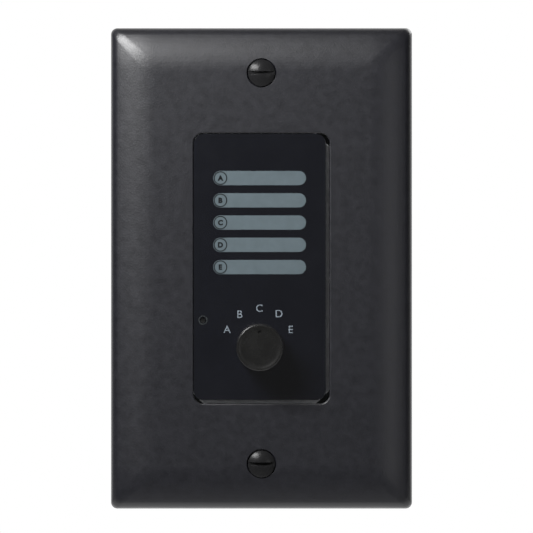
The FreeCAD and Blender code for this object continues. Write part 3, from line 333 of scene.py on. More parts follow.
class Surface(Wiring):
    """Nodes of one material: its shader and the patterns that change it over the surface."""

    def __init__(self, material: bpy.types.Material) -> None:
        """Find the shader and give the surface position.

        Args:
            material: Material with its first nodes.
        """
        super().__init__(material.node_tree)
        self.shader = material.node_tree.nodes["Principled BSDF"]
        self.place = self.stretched((1.0, 1.0, 1.0))

    def stretched(self, stretch: Triple) -> Socket:
        """Give the surface position in millimetres, stretched along some axes.

        Args:
            stretch: Factor along each axis.

        Returns:
            The vector socket that patterns read.
        """
        coordinates = self.add("ShaderNodeTexCoord").outputs["Object"]
        scale = tuple(factor / MM for factor in stretch)
        return self.add("ShaderNodeMapping", {"Vector": coordinates, "Scale": scale}).outputs[0]

    def effect(self, tree: bpy.types.NodeTree, **values: Any) -> bpy.types.Node:
        """Place one shared effect in this material with its own values.

        Args:
            tree: Node group of the effect.
            **values: Input name to value or socket, with the plain position where none is given.

        Returns:
            The group node.
        """
        return self.add("ShaderNodeGroup", {"Vector": self.place, **values}, node_tree=tree)

    def grain(self, grain: float, cloud: float) -> tuple[Socket, Socket]:
        """Give height and cloudiness of the moulded grain, from their patches per millimetre."""
        node = self.effect(Effects.moulded_grain(), Grain=grain, Cloud=cloud)
        return node.outputs["Height"], node.outputs["Cloud"]

    def varied(self, mask: Socket, colour: Colour, share: float) -> Socket:
        """Make a colour darker and lighter by a share, as a mask goes from 0 to 1."""
        return self.blend(mask, shade(colour, 1 - share), shade(colour, 1 + share))

    def rubbed(self, colour: Paint, amount: float, bare: Colour) -> Socket:
        """Change a colour along the outer edges to that of the rubbed material."""
        return self.blend(self.effect(Effects.edge_wear(), Amount=amount).outputs[0], colour, bare)

    def show(self, gloss: Socket, height: Socket, depth: float, colour: Socket | None = None) -> None:
        """Give the shader its gloss and colour, and bump the surface.

        Args:
            gloss: Socket with the roughness.
            height: Socket with the height of the relief.
            depth: Depth of the relief in millimetres.
            colour: Socket with the colour, or None where it is even.
        """
        bump = self.add("ShaderNodeBump", {"Height": height, "Distance": depth * MM, "Strength": 1.0})
        self.feed(self.shader, {"Roughness": gloss, "Normal": bump.outputs[0]})
        if colour:
            self.feed(self.shader, {"Base Color": colour})


@dataclass(frozen=True)
class Finish:
    """Finish of a surface: its name, its slot in the record and its plain values."""

    name: str
    slot: str
    colour: Colour
    roughness: float
    metallic: float = 0.0
    coat: float = 0.0
    coat_roughness: float = 0.08
    specular: float = 0.5
    gloss_range: Point = (1.0, 1.0)

    @cache
    def material(self) -> bpy.types.Material:
        """Build the finish's material, once.

        Returns:
            The material.
        """
        made = bpy.data.materials.new(self.name)
        made.use_nodes = True
        surface = Surface(made)
        values = {"Base Color": (*self.colour, 1.0), "Roughness": self.roughness, "Metallic": self.metallic}
        values |= {"Coat Weight": self.coat, "Coat Roughness": self.coat_roughness}
        surface.feed(surface.shader, values | {"Specular IOR Level": self.specular})
        self.dress(surface)
        return made

    def gloss(self, surface: Surface, mask: Socket) -> Socket:
        """Vary the roughness over its range of factors, as a mask goes from 0 to 1."""
        return surface.spread(mask, 0.0, 1.0, *(self.roughness * factor for factor in self.gloss_range))

    def dress(self, surface: Surface) -> None:
        """Add this finish's own pattern to a surface. The plain finish has none."""


@dataclass(frozen=True)
class Moulding(Finish):
    """Moulded plastic with a fine grain, a faint cloudiness, rubbed edges and some dust."""

    gloss_range: Point = (0.93, 1.07)
    grain: float = 7.0
    depth: float = 0.006
    cloud: float = 0.22
    cloud_size: float = 0.3
    wear: float = 0.25
    bare_factor: float = 2.2
    dust: float = 0.12
    dust_colour: Colour = (0.32, 0.31, 0.29)
    dust_dulls: float = 0.3

    def dress(self, surface: Surface) -> None:
        """Change colour and gloss with cloud, wear and dust, and bump the surface with the grain.

        Args:
            surface: Nodes of the material.
        """
        height, cloud = surface.grain(self.grain, self.cloud_size)
        colour = surface.varied(cloud, self.colour, self.cloud)
        colour = surface.rubbed(colour, self.wear, shade(self.colour, self.bare_factor))
        dust = surface.effect(Effects.settled_dust(), Amount=self.dust).outputs[0]
        gloss = surface.math(Sum.TIMES, dust, self.dust_dulls)
        gloss = surface.math(Sum.PLUS, self.gloss(surface, cloud), gloss)
        surface.show(gloss, height, self.depth, surface.blend(dust, colour, self.dust_colour))


@dataclass(frozen=True)
class Metal(Finish):
    """Bare or plated metal with drawn lines, slow stains and brightened edges."""

    gloss_range: Point = (0.8, 1.2)
    along: Along = Along.Z
    lines: float = 14.0
    dark_line: float = 0.86
    bright_line: float = 1.1
    depth: float = 0.002
    stain: float = 0.25
    stain_factor: float = 0.62
    stain_dulls: float = 0.25
    wear: float = 0.5
    bare_factor: float = 1.5

    def dress(self, surface: Surface) -> None:
        """Change colour and gloss with lines and stains, and bump the surface with the lines.

        Args:
            surface: Nodes of the material.
        """
        stretched = surface.stretched(self.along.value)
        lines = surface.effect(Effects.drawn_lines(), Vector=stretched, Lines=self.lines).outputs["Lines"]
        stain = surface.effect(Effects.drawn_lines(), Lines=self.lines).outputs["Stain"]
        stain = surface.math(Sum.TIMES, stain, self.stain)
        dark, bright = shade(self.colour, self.dark_line), shade(self.colour, self.bright_line)
        colour = surface.blend(lines, dark, bright)
        colour = surface.blend(stain, colour, shade(self.colour, self.stain_factor))
        colour = surface.rubbed(colour, self.wear, shade(self.colour, self.bare_factor))
        gloss = surface.math(Sum.TIMES, stain, self.stain_dulls)
        gloss = surface.math(Sum.PLUS, self.gloss(surface, lines), gloss)
        surface.show(gloss, lines, self.depth, colour)


@dataclass(frozen=True)
class GlossSheet(Finish):
    """Gloss lacquered surface with a slight waviness, wiped smears and a few specks of dust."""

    gloss_range: Point = (1.0, 2.0)
    index: float = 1.8
    smear: float = 0.5
    smear_factor: float = 1.25
    wave_size: float = 0.5
    smear_size: float = 0.11
    depth: float = 0.0015
    dust: float = 0.05
    dust_colour: Colour = (0.3, 0.3, 0.3)
    wear: float = 0.3
    bare_factor: float = 3.0

    def dress(self, surface: Surface) -> None:
        """Change gloss with smears and colour with specks, and bend reflections with a slow wave.

        Args:
            surface: Nodes of the material.
        """
        surface.feed(surface.shader, {"IOR": self.index})
        height, cloud = surface.grain(self.wave_size, self.smear_size)
        smear = surface.math(Sum.TIMES, cloud, self.smear)
        colour = surface.blend(smear, self.colour, shade(self.colour, self.smear_factor))
        dust = surface.effect(Effects.settled_dust(), Amount=self.dust).outputs[0]
        colour = surface.blend(dust, colour, self.dust_colour)
        colour = surface.rubbed(colour, self.wear, shade(self.colour, self.bare_factor))
        gloss = surface.math(Sum.PLUS, self.gloss(surface, smear), dust)
        surface.show(gloss, height, self.depth, colour)


@dataclass(frozen=True)
class Printed(Finish):
    """Printed film or ink: nearly even, with the tooth of the screen and thin spots."""

    gloss_range: Point = (0.9, 1.1)
    tooth: float = 16.0
    depth: float = 0.002
    thin: float = 0.08
    thin_size: float = 0.4

    def dress(self, surface: Surface) -> None:
        """Change colour and gloss a little with the tooth of the print, and bump the surface with it.

        Args:
            surface: Nodes of the material.
        """
        height, cloud = surface.grain(self.tooth, self.thin_size)
        colour = surface.varied(cloud, self.colour, self.thin)
        surface.show(self.gloss(surface, cloud), height, self.depth, colour)


@dataclass(frozen=True)
class Clear(Finish):
    """Clear moulding with a faint frosting."""

    gloss_range: Point = (1.0, 2.5)
    index: float = 1.49
    frost: float = 5.0
    frost_size: float = 0.8
    depth: float = 0.001

    def dress(self, surface: Surface) -> None:
        """Let light through, and change the gloss with a fine frosting.

        Args:
            surface: Nodes of the material.
        """
        surface.feed(surface.shader, {"Transmission Weight": 1.0, "IOR": self.index})
        height, cloud = surface.grain(self.frost, self.frost_size)
        surface.show(self.gloss(surface, cloud), height, self.depth)


@dataclass(frozen=True)
class Laminate(Finish):
    """Circuit board under black solder mask, with copper tracks that show through faintly."""

    gloss_range: Point = (0.85, 1.15)
    pitch: float = 0.42
    gap: float = 0.06
    shift: float = 0.37
    track_share: float = 0.7
    track_factor: float = 2.0
    depth: float = 0.02
    grain: float = 3.0
    cloud: float = 0.2
    cloud_size: float = 0.3

    def dress(self, surface: Surface) -> None:
        """Lift the surface and lighten the mask along stepped tracks.

        Args:
            surface: Nodes of the material.
        """
        turn = {"Vector": surface.place, "Rotation": (math.pi / 2, 0.0, 0.0)}
        upright = surface.add("ShaderNodeMapping", turn).outputs[0]
        bricks = {"Vector": upright, "Scale": self.pitch, "Mortar Size": self.gap}
        tracks = surface.add("ShaderNodeTexBrick", bricks, offset=self.shift).outputs["Fac"]
        cloud = surface.grain(self.grain, self.cloud_size)[1]
        mask = surface.varied(cloud, self.colour, self.cloud)
        share = surface.math(Sum.TIMES, tracks, self.track_share)
        colour = surface.blend(share, mask, shade(self.colour, self.track_factor))
        surface.show(self.gloss(surface, cloud), tracks, self.depth, colour)


@dataclass(frozen=True)
class PaleFloor(Finish):
    """Pale floor that keeps the shadows, with a painted white glow that only reflections see, dark towards
    the camera.
    """

    # Depth where the painted reflection glow starts, how far it takes to fade in, and its strength
    glow_from: float = -240.0
    glow_fade: float = 140.0
    shine: float = 0.7
    grain: float = 0.3
    cloud: float = 0.015
    cloud_size: float = 0.01

    def dress(self, surface: Surface) -> None:
        """Change the colour with a faint cloudiness, and paint a white glow that only reflections see.

        Args:
            surface: Nodes of the material.
        """
        cloud = surface.grain(self.grain, self.cloud_size)[1]
        # Painted reflection: the floor glows white for glossy rays only, and only back from a set depth; no
        # lamp lights it
        glossy = surface.add("ShaderNodeLightPath").outputs["Is Glossy Ray"]
        depth = surface.add("ShaderNodeSeparateXYZ", {0: surface.place}).outputs["Y"]
        near = surface.spread(depth, self.glow_from, self.glow_from + self.glow_fade, 0.0, self.shine)
        values = {"Base Color": surface.varied(cloud, self.colour, self.cloud)}
        values |= {"Emission Color": (1.0, 1.0, 1.0, 1.0)}
        values |= {"Emission Strength": surface.math(Sum.TIMES, glossy, near)}
        surface.feed(surface.shader, values)


class Palette:
    """Every finish of the controller."""

    PLATE = Moulding(
        "charcoal_moulding", "plate_plastic", (0.0118, 0.0122, 0.0172), 0.39, specular=0.8,
        grain=2.2, depth=0.012, cloud=0.2, cloud_size=0.5,
    )
    SCREW = Metal(
        "black_screw_head", "black_screw", (0.02, 0.02, 0.021), 0.22, specular=0.2, stain=0.4, wear=1.0
    )
    ZINC = Metal("bright_zinc", "zinc_steel", (0.56, 0.57, 0.59), 0.33, 1.0, along=Along.Y, wear=0.3)
    SHEET = Metal("zinc_sheet", "zinc_sheet", (0.68, 0.69, 0.71), 0.46, 1.0, stain=0.3)
    PANEL = GlossSheet("gloss_panel", "panel_gloss", (0.0034, 0.0041, 0.0078), 0.11, specular=1.0)
    TAPE = Moulding("foam_tape", "adhesive_foam", (0.03, 0.03, 0.03), 0.85, grain=2.2, depth=0.03, dust=0.0)
    LABEL = Printed("label_film", "label_film", (0.124, 0.162, 0.181), 0.6, specular=0.3)
    LEGEND = Printed("dial_ink", "label_film", (0.26, 0.305, 0.35), 0.5, thin=0.15)
    DARK_INK = Printed("label_ink", "label_film", (0.004, 0.005, 0.006), 0.5, specular=0.2)
    BEZEL = GlossSheet("window_bezel", "panel_gloss", (0.015, 0.019, 0.02), 0.3)
    PIPE = Clear("clear_pipe", "clear_pipe", (0.06, 0.065, 0.07), 0.4)
    LAMP = Moulding("lamp_body", "led_body", (0.78, 0.76, 0.66), 0.3, coat=0.5, dust=0.0)
    KNOB = Moulding(
        "knob_moulding", "knob_plastic", (0.012, 0.0119, 0.0115), 0.27, specular=0.75, grain=9.0, depth=0.002
    )
    SPRING = Metal("spring_steel", "spring_steel", (0.42, 0.42, 0.43), 0.28, 1.0, along=Along.X)
    TINNED = Metal("tinned_sheet", "tinned_sheet", (0.62, 0.62, 0.6), 0.3, 1.0, along=Along.Y, stain=0.35)
    CAST = Metal("die_cast_zinc", "cast_zinc", (0.4, 0.4, 0.41), 0.5, 1.0, lines=5.0, depth=0.006)
    NICKEL = Metal("nickel_plate", "nickel_brass", (0.62, 0.58, 0.5), 0.24, 1.0, along=Along.Y)
    SWITCH = Moulding("switch_moulding", "switch_moulding", (0.022, 0.022, 0.022), 0.5, cloud=0.35)
    ACETAL = Moulding("acetal_moulding", "rotor_moulding", (0.72, 0.7, 0.64), 0.4, coat=0.1, cloud=0.05)
    PHENOLIC = Moulding("phenolic_moulding", "stator_moulding", (0.2, 0.1, 0.045), 0.45, cloud=0.3)
    BRONZE = Metal("phosphor_bronze", "contact_bronze", (0.66, 0.46, 0.29), 0.26, 1.0, along=Along.X)
    BOARD = Laminate("solder_mask", "board_laminate", (0.008, 0.0095, 0.009), 0.3)
    CHIP = Moulding("chip_body", "chip_ceramic", (0.03, 0.03, 0.033), 0.35, dust=0.05)
    CHIP_CAP = Metal("chip_cap", "chip_ceramic", (0.62, 0.62, 0.61), 0.35, 1.0)
    SOLDER = Metal("solder", "tinned_sheet", (0.6, 0.6, 0.6), 0.2, 1.0, lines=3.0, depth=0.004)
    JACK = Moulding("jack_moulding", "jack_moulding", (0.024, 0.024, 0.026), 0.45)
    GOLD = Metal("gold_wire", "contact_gold", (0.83, 0.61, 0.25), 0.2, 1.0, along=Along.Y, stain=0.1)
    FLOOR = PaleFloor("pale_floor", "", (0.86, 0.86, 0.86), 0.7)


def alone(piece: Piece) -> None:
    """Make a piece the only selected and the active object.

    Args:
        piece: The piece.
    """
    bpy.ops.object.select_all(action="DESELECT")
    piece.select_set(True)
    bpy.context.view_layer.objects.active = piece


def settle() -> None:
    """Move the place, turn and size of what is selected into its mesh."""
    bpy.ops.object.transform_apply(location=True, rotation=True, scale=True)


@contextmanager
def editing(piece: Piece) -> Iterator[bmesh.types.BMesh]:
    """Enter edit mode on one piece with all of it selected, and leave it again.

    Args:
        piece: Piece to edit.

    Yields:
        The mesh under edit.
    """
    alone(piece)
    bpy.ops.object.mode_set(mode="EDIT")
    bpy.ops.mesh.select_mode(type="VERT")
    bpy.ops.mesh.select_all(action="SELECT")
    yield bmesh.from_edit_mesh(piece.data)
    bpy.ops.object.mode_set(mode="OBJECT")


def apply_modifier(piece: Piece, kind: str, **settings: Any) -> None:
    """Add a modifier with its settings and apply it.

    Args:
        piece: Piece that gets it.
        kind: Type of the modifier.
        **settings: Properties of the modifier.
    """
    alone(piece)
    modifier = piece.modifiers.new(kind.lower(), kind)
    for name, value in settings.items():
        setattr(modifier, name, value)
    bpy.ops.object.modifier_apply(modifier=modifier.name)


def soften(piece: Piece, width: float) -> None:
    """Break the sharp edges with a small rounding, of a width in millimetres."""
    rounding = {"width": width * MM, "segments": ROUND_STEPS, "use_clamp_overlap": True}
    apply_modifier(piece, "BEVEL", limit_method="ANGLE", angle_limit=SHARP_ANGLE, **rounding)


def combine(piece: Piece, meeting: Meeting, tool: Piece) -> None:
    """Cut a piece with another or fuse the two, and remove the other.

    Args:
        piece: Piece that stays.
        meeting: What the other does to it.
        tool: Closed mesh that is used up.
    """
    apply_modifier(piece, "BOOLEAN", object=tool, operation=meeting.value, solver="EXACT")
    bpy.data.objects.remove(tool)


def joined(pieces: Sequence[Piece]) -> Piece:
    """Join several pieces into the first one.

    Args:
        pieces: Pieces to join.

    Returns:
        The first piece, which now holds them all.
    """
    alone(pieces[0])
    for piece in pieces:
        piece.select_set(True)
    if len(pieces) > 1:
        bpy.ops.object.join()
    return pieces[0]


def outward(piece: Piece) -> None:
    """Merge doubles and turn every face outwards.

    Args:
        piece: Piece to put in order.
    """
    with editing(piece):
        bpy.ops.mesh.remove_doubles(threshold=SAME_PLACE)
        bpy.ops.mesh.normals_make_consistent(inside=False)


def smooth(piece: Piece) -> None:
    """Shade a piece smoothly up to its sharp edges, with flat faces kept flat.

    Args:
        piece: Piece to shade.
    """
    alone(piece)
    bpy.ops.object.shade_smooth_by_angle(angle=SHARP_ANGLE)
    apply_modifier(piece, "WEIGHTED_NORMAL", keep_sharp=True, weight=FACE_WEIGHT, mode="FACE_AREA_WITH_ANGLE")


def hand_over(piece: Piece, name: str, part: Part, finish: Finish, nodes: Sequence[str] = ()) -> None:
    """Name and dress a finished piece and tie it to the model.

    Args:
        piece: Finished mesh, in place.
        name: Name of the piece.
        part: Body that it rides on.
        finish: Its finish.
        nodes: CAD nodes that it stands for.
    """
    alone(piece)
    settle()
    piece.name = name
    piece.data.name = name
    piece.data.materials.append(finish.material())
    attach(piece, part.value)
    if nodes:
        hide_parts(*nodes)
    LOG.info("%s: %d faces, %s", name, len(piece.data.polygons), finish.name)


@dataclass(frozen=True)
class Ring:
    """Rounded rectangle at one depth, a section of a lofted body. Sizes are in millimetres."""

    width: float
    height: float
    radius: float
    depth: float
    x: float = 0.0
    z: float = 0.0

    def outline(self, steps: int) -> Piece:
        """Make the ring as a closed outline.

        Args:
            steps: Steps round each corner.

        Returns:
            A mesh with the outline's edges only.
        """
        place = (self.x * MM, self.depth * MM, self.z * MM)
        bpy.ops.mesh.primitive_plane_add(size=1.0, location=place, rotation=(math.pi / 2, 0.0, 0.0))
        piece = bpy.context.object
        piece.scale = (self.width * MM, self.height * MM, 1.0)
        settle()
        with editing(piece):
            bpy.ops.mesh.bevel(offset=self.radius * MM, segments=steps, affect="VERTICES")
            bpy.ops.mesh.select_all(action="SELECT")
            bpy.ops.mesh.delete(type="ONLY_FACE")
        return piece


def pick_sections(body: Piece, numbers: Sequence[int]) -> None:
    """Select the outlines of some sections of a body under edit.

    Args:
        body: Piece whose points hold the number of their section.
        numbers: Sections to select.
    """
    bpy.ops.mesh.select_mode(type="EDGE")
    bpy.ops.mesh.select_all(action="DESELECT")
    mesh = bmesh.from_edit_mesh(body.data)
    layer = mesh.verts.layers.int["section"]
    for edge in mesh.edges:
        first, second = (vertex[layer] for vertex in edge.verts)
        if first == second and first in numbers:
            edge.select_set(True)
    mesh.select_flush_mode()


def loft(rings: Sequence[Ring], steps: int, closed: bool = False) -> Piece:
    """Bridge rings one to the next into a body.

    Args:
        rings: Sections in order.
        steps: Steps round each corner.
        closed: True if the last ring joins the first, and otherwise both ends are capped.

    Returns:
        The closed body.
    """
    outlines, last = [], len(rings) - 1
    pairs = [(number, number + 1) for number in range(last)]
    if closed:
        pairs.append((last, 0))
    for number, ring in enumerate(rings):
        outlines.append(ring.outline(steps))
        tag = outlines[-1].data.attributes.new("section", "INT", "POINT")
        for item in tag.data:
            item.value = number
    body = joined(outlines)
    with editing(body):
        for pair in pairs:
            pick_sections(body, pair)
            bpy.ops.mesh.bridge_edge_loops()
        for end in () if closed else (0, last):
            pick_sections(body, [end])
            bpy.ops.mesh.edge_face_add()
    body.data.attributes.remove(body.data.attributes["section"])
    outward(body)
    return body


def bar(width: float, height: float, low: float, high: float, x: float, z: float) -> Piece:
    """Add a plain bar, as a cutting tool, a rib or a start.

    Args:
        width: Size along X in millimetres.
        height: Size along Z.
        low: Depth of its front.
        high: Depth of its back.
        x: Middle along X.
        z: Middle along Z.

    Returns:
        The bar.
    """
    place = (x * MM, (low + high) / 2 * MM, z * MM)
    bpy.ops.mesh.primitive_cube_add(size=1.0, location=place)
    piece = bpy.context.object
    piece.scale = (width * MM, (high - low) * MM, height * MM)
    settle()
    return piece


def lettering(text: str, height: float, x: float, depth: float, z: float, weight: float) -> Piece:
    """Set a capital letter as a thin raised mesh that faces the front.

    Args:
        text: The letter.
        height: Height of the capital in millimetres.
        x: Middle along X.
        depth: Depth of the surface that it is printed on.
        z: Middle along Z.
        weight: Share of the height by which the strokes are thickened.

    Returns:
        The letter.
    """
    bpy.ops.object.text_add(location=(0.0, 0.0, 0.0), rotation=(math.pi / 2, 0.0, 0.0))
    piece = bpy.context.object
    piece.data.body = text
    piece.data.offset = weight
    piece.data.extrude = LETTER_RELIEF
    piece.data.resolution_u = LETTER_STEPS
    bpy.ops.object.convert(target="MESH")
    piece = bpy.context.object
    corners = [piece.matrix_world @ vertex.co for vertex in piece.data.vertices]
    low = Vector([min(corner[axis] for corner in corners) for axis in range(3)])
    high = Vector([max(corner[axis] for corner in corners) for axis in range(3)])
    scale = height * MM / (high.z - low.z)
    piece.scale = (scale, scale, scale)
    piece.location = Vector((x * MM, depth * MM, z * MM)) - (low + high) / 2 * scale
    settle()
    outward(piece)
    return piece


def drawn_line(points: Sequence[Point]) -> Piece:
    """Draw a chain of edges in the plane of the depth and the sideways direction.

    Args:
        points: Radius and depth of each point in millimetres.

    Returns:
        A mesh with the chain's edges only.
    """
    radius, depth = points[0]
    bpy.ops.mesh.primitive_plane_add(size=MM, location=(radius * MM, depth * MM, 0.0))
    piece = bpy.context.object
    settle()
    with editing(piece):
        bpy.ops.mesh.merge(type="CENTER")
        for before, after in zip(points, points[1:]):
            step = ((after[0] - before[0]) * MM, (after[1] - before[1]) * MM, 0.0)
            bpy.ops.mesh.extrude_vertices_move(TRANSFORM_OT_translate={"value": step})
    return piece


def moved(piece: Piece, x: float, z: float) -> Piece:
    """Move a piece that was made on the depth axis to its place, given in millimetres.

    Args:
        piece: Piece to move.
        x: Distance to the right.
        z: Distance upwards.

    Returns:
        The same piece.
    """
    alone(piece)
    piece.location = (x * MM, 0.0, z * MM)
    settle()
    return piece


def turned(points: Sequence[Point], x: float, z: float, steps: int = 64) -> Piece:
    """Turn a profile about an axis along the depth.

    Args:
        points: Radius and depth of each point in millimetres, from axis to axis or back to the first point.
        x: Sideways place of the axis in millimetres.
        z: Height of the axis in millimetres.
        steps: Steps round the circle.

    Returns:
        The closed turned body.
    """
    piece = drawn_line(points)
    with editing(piece):
        bpy.ops.mesh.spin(steps=steps, angle=math.tau, center=(0.0, 0.0, 0.0), axis=(0.0, 1.0, 0.0))
    outward(piece)
    return moved(piece, x, z)


def arc(centre: Point, radius: float, start_deg: float, end_deg: float, steps: int) -> list[Point]:
    """Give points on an arc of a profile.

    Args:
        centre: Radius and depth of the arc's centre.
        radius: Radius of the arc.
        start_deg: Angle of the first point, 0 pointing outwards and 90 towards the wall.
        end_deg: Angle of the last point.
        steps: Steps between them.

    Returns:
        Radius and depth of each point.
    """
    points = []
    for step in range(steps + 1):
        angle = math.radians(start_deg + (end_deg - start_deg) * step / steps)
        points.append((centre[0] + radius * math.cos(angle), centre[1] + radius * math.sin(angle)))
    return points


def shallow_arc(run: float, rise: float) -> tuple[float, float]:
    """Find the arc that starts level and rises over a run.

    Args:
        run: Distance covered along the level.
        rise: Height gained over the run.

    Returns:
        Radius of the arc, and its angle in degrees.
    """
    radius = (run**2 + rise**2) / (2 * rise)
    return radius, math.degrees(math.asin(run / radius))


@dataclass(frozen=True)
class Softbox:
    """Rectangular soft lamp that faces the object. Sizes in metres, power in watts."""

    name: str
    towards: Triple
    reach: float
    power: float
    width: float
    height: float

    def build(self) -> None:
        """Hang the lamp."""
        direction = Vector(self.towards).normalized()
        bpy.ops.object.light_add(type="AREA", location=direction * self.reach)
        lamp = bpy.context.object
        lamp.name = self.name
        lamp.rotation_euler = direction.to_track_quat("Z", "Y").to_euler()
        lamp.data.shape = "RECTANGLE"
        lamp.data.size = self.width
        lamp.data.size_y = self.height
        lamp.data.energy = self.power


@dataclass
class Studio:
    """White surroundings, a soft lamp from the upper left and the camera of the photograph."""

    floor_size: float = 3.0
    floor_drop: float = 0.30
    ambient: float = 0.03
    front_dark: float = 0.05
    white_behind: float = 0.8
    white_from: float = 0.3
    camera_reach: float = 3.0
    sensor: float = 36.0
    frame_height: float = 0.1321
    nearest: float = 0.01
    aim: Triple = (0.00124, -0.002, 0.00047)
    lamps: tuple[Softbox, ...] = (
        Softbox("key_softbox", (-0.1745, -0.2678, 0.1975), 0.376, 1.68, 0.18, 0.1),
        Softbox("right_fill", (0.5, -0.87, 0.02), 0.9, 0.35, 0.2, 0.4),
        Softbox("back_softbox", (0.55, 0.68, 0.48), 1.1, 4.5, 0.8, 0.6),
    )

    def build(self) -> None:
        """Build the surroundings, the lamps and the camera."""
        bpy.context.scene.view_settings.view_transform = "Standard"
        self.surroundings()
        self.floor()
        for lamp in self.lamps:
            lamp.build()
        self.camera()

    def surroundings(self) -> None:
        """Fill the world with white, and keep it dim for what the front face reflects."""
        world = bpy.data.worlds.new("white_surroundings")
        world.use_nodes = True
        bpy.context.scene.world = world
        wiring = Wiring(world.node_tree)
        direction = wiring.add("ShaderNodeTexCoord").outputs["Generated"]
        ahead = wiring.add("ShaderNodeSeparateXYZ", {0: direction}).outputs["Y"]
        gloss = wiring.spread(ahead, self.white_from, 1.0, self.front_dark, self.white_behind)
        rays = wiring.add("ShaderNodeLightPath").outputs
        seen = wiring.math(Sum.LARGER, rays["Is Camera Ray"], rays["Is Transmission Ray"])
        dim = wiring.spread(rays["Is Glossy Ray"], 0.0, 1.0, self.ambient, 0.0)
        shine = wiring.math(Sum.TIMES, gloss, rays["Is Glossy Ray"])
        strength = wiring.math(Sum.LARGER, seen, wiring.math(Sum.PLUS, dim, shine))
        background = world.node_tree.nodes["Background"]
        wiring.feed(background, {"Color": (1.0, 1.0, 1.0, 1.0), "Strength": strength})

    def floor(self) -> None:
        """Lay a plain pale floor below the object."""
        low = Vector(CAD_BOX[0])
        bpy.ops.mesh.primitive_plane_add(size=self.floor_size, location=(0.0, 0.0, low.z - self.floor_drop))
        floor = bpy.context.object
        settle()
        floor.name = "floor"
        floor.data.materials.append(Palette.FLOOR.material())

    def camera(self) -> None:
        """Place the camera straight in front, with a long lens."""
        place = (self.aim[0], self.aim[1] - self.camera_reach, self.aim[2])
        bpy.ops.object.camera_add(location=place, rotation=(math.pi / 2, 0.0, 0.0))
        camera = bpy.context.object
        camera.data.sensor_width = self.sensor
        camera.data.lens = self.sensor * self.camera_reach / self.frame_height
        camera.data.clip_start = self.nearest
        bpy.context.scene.camera = camera


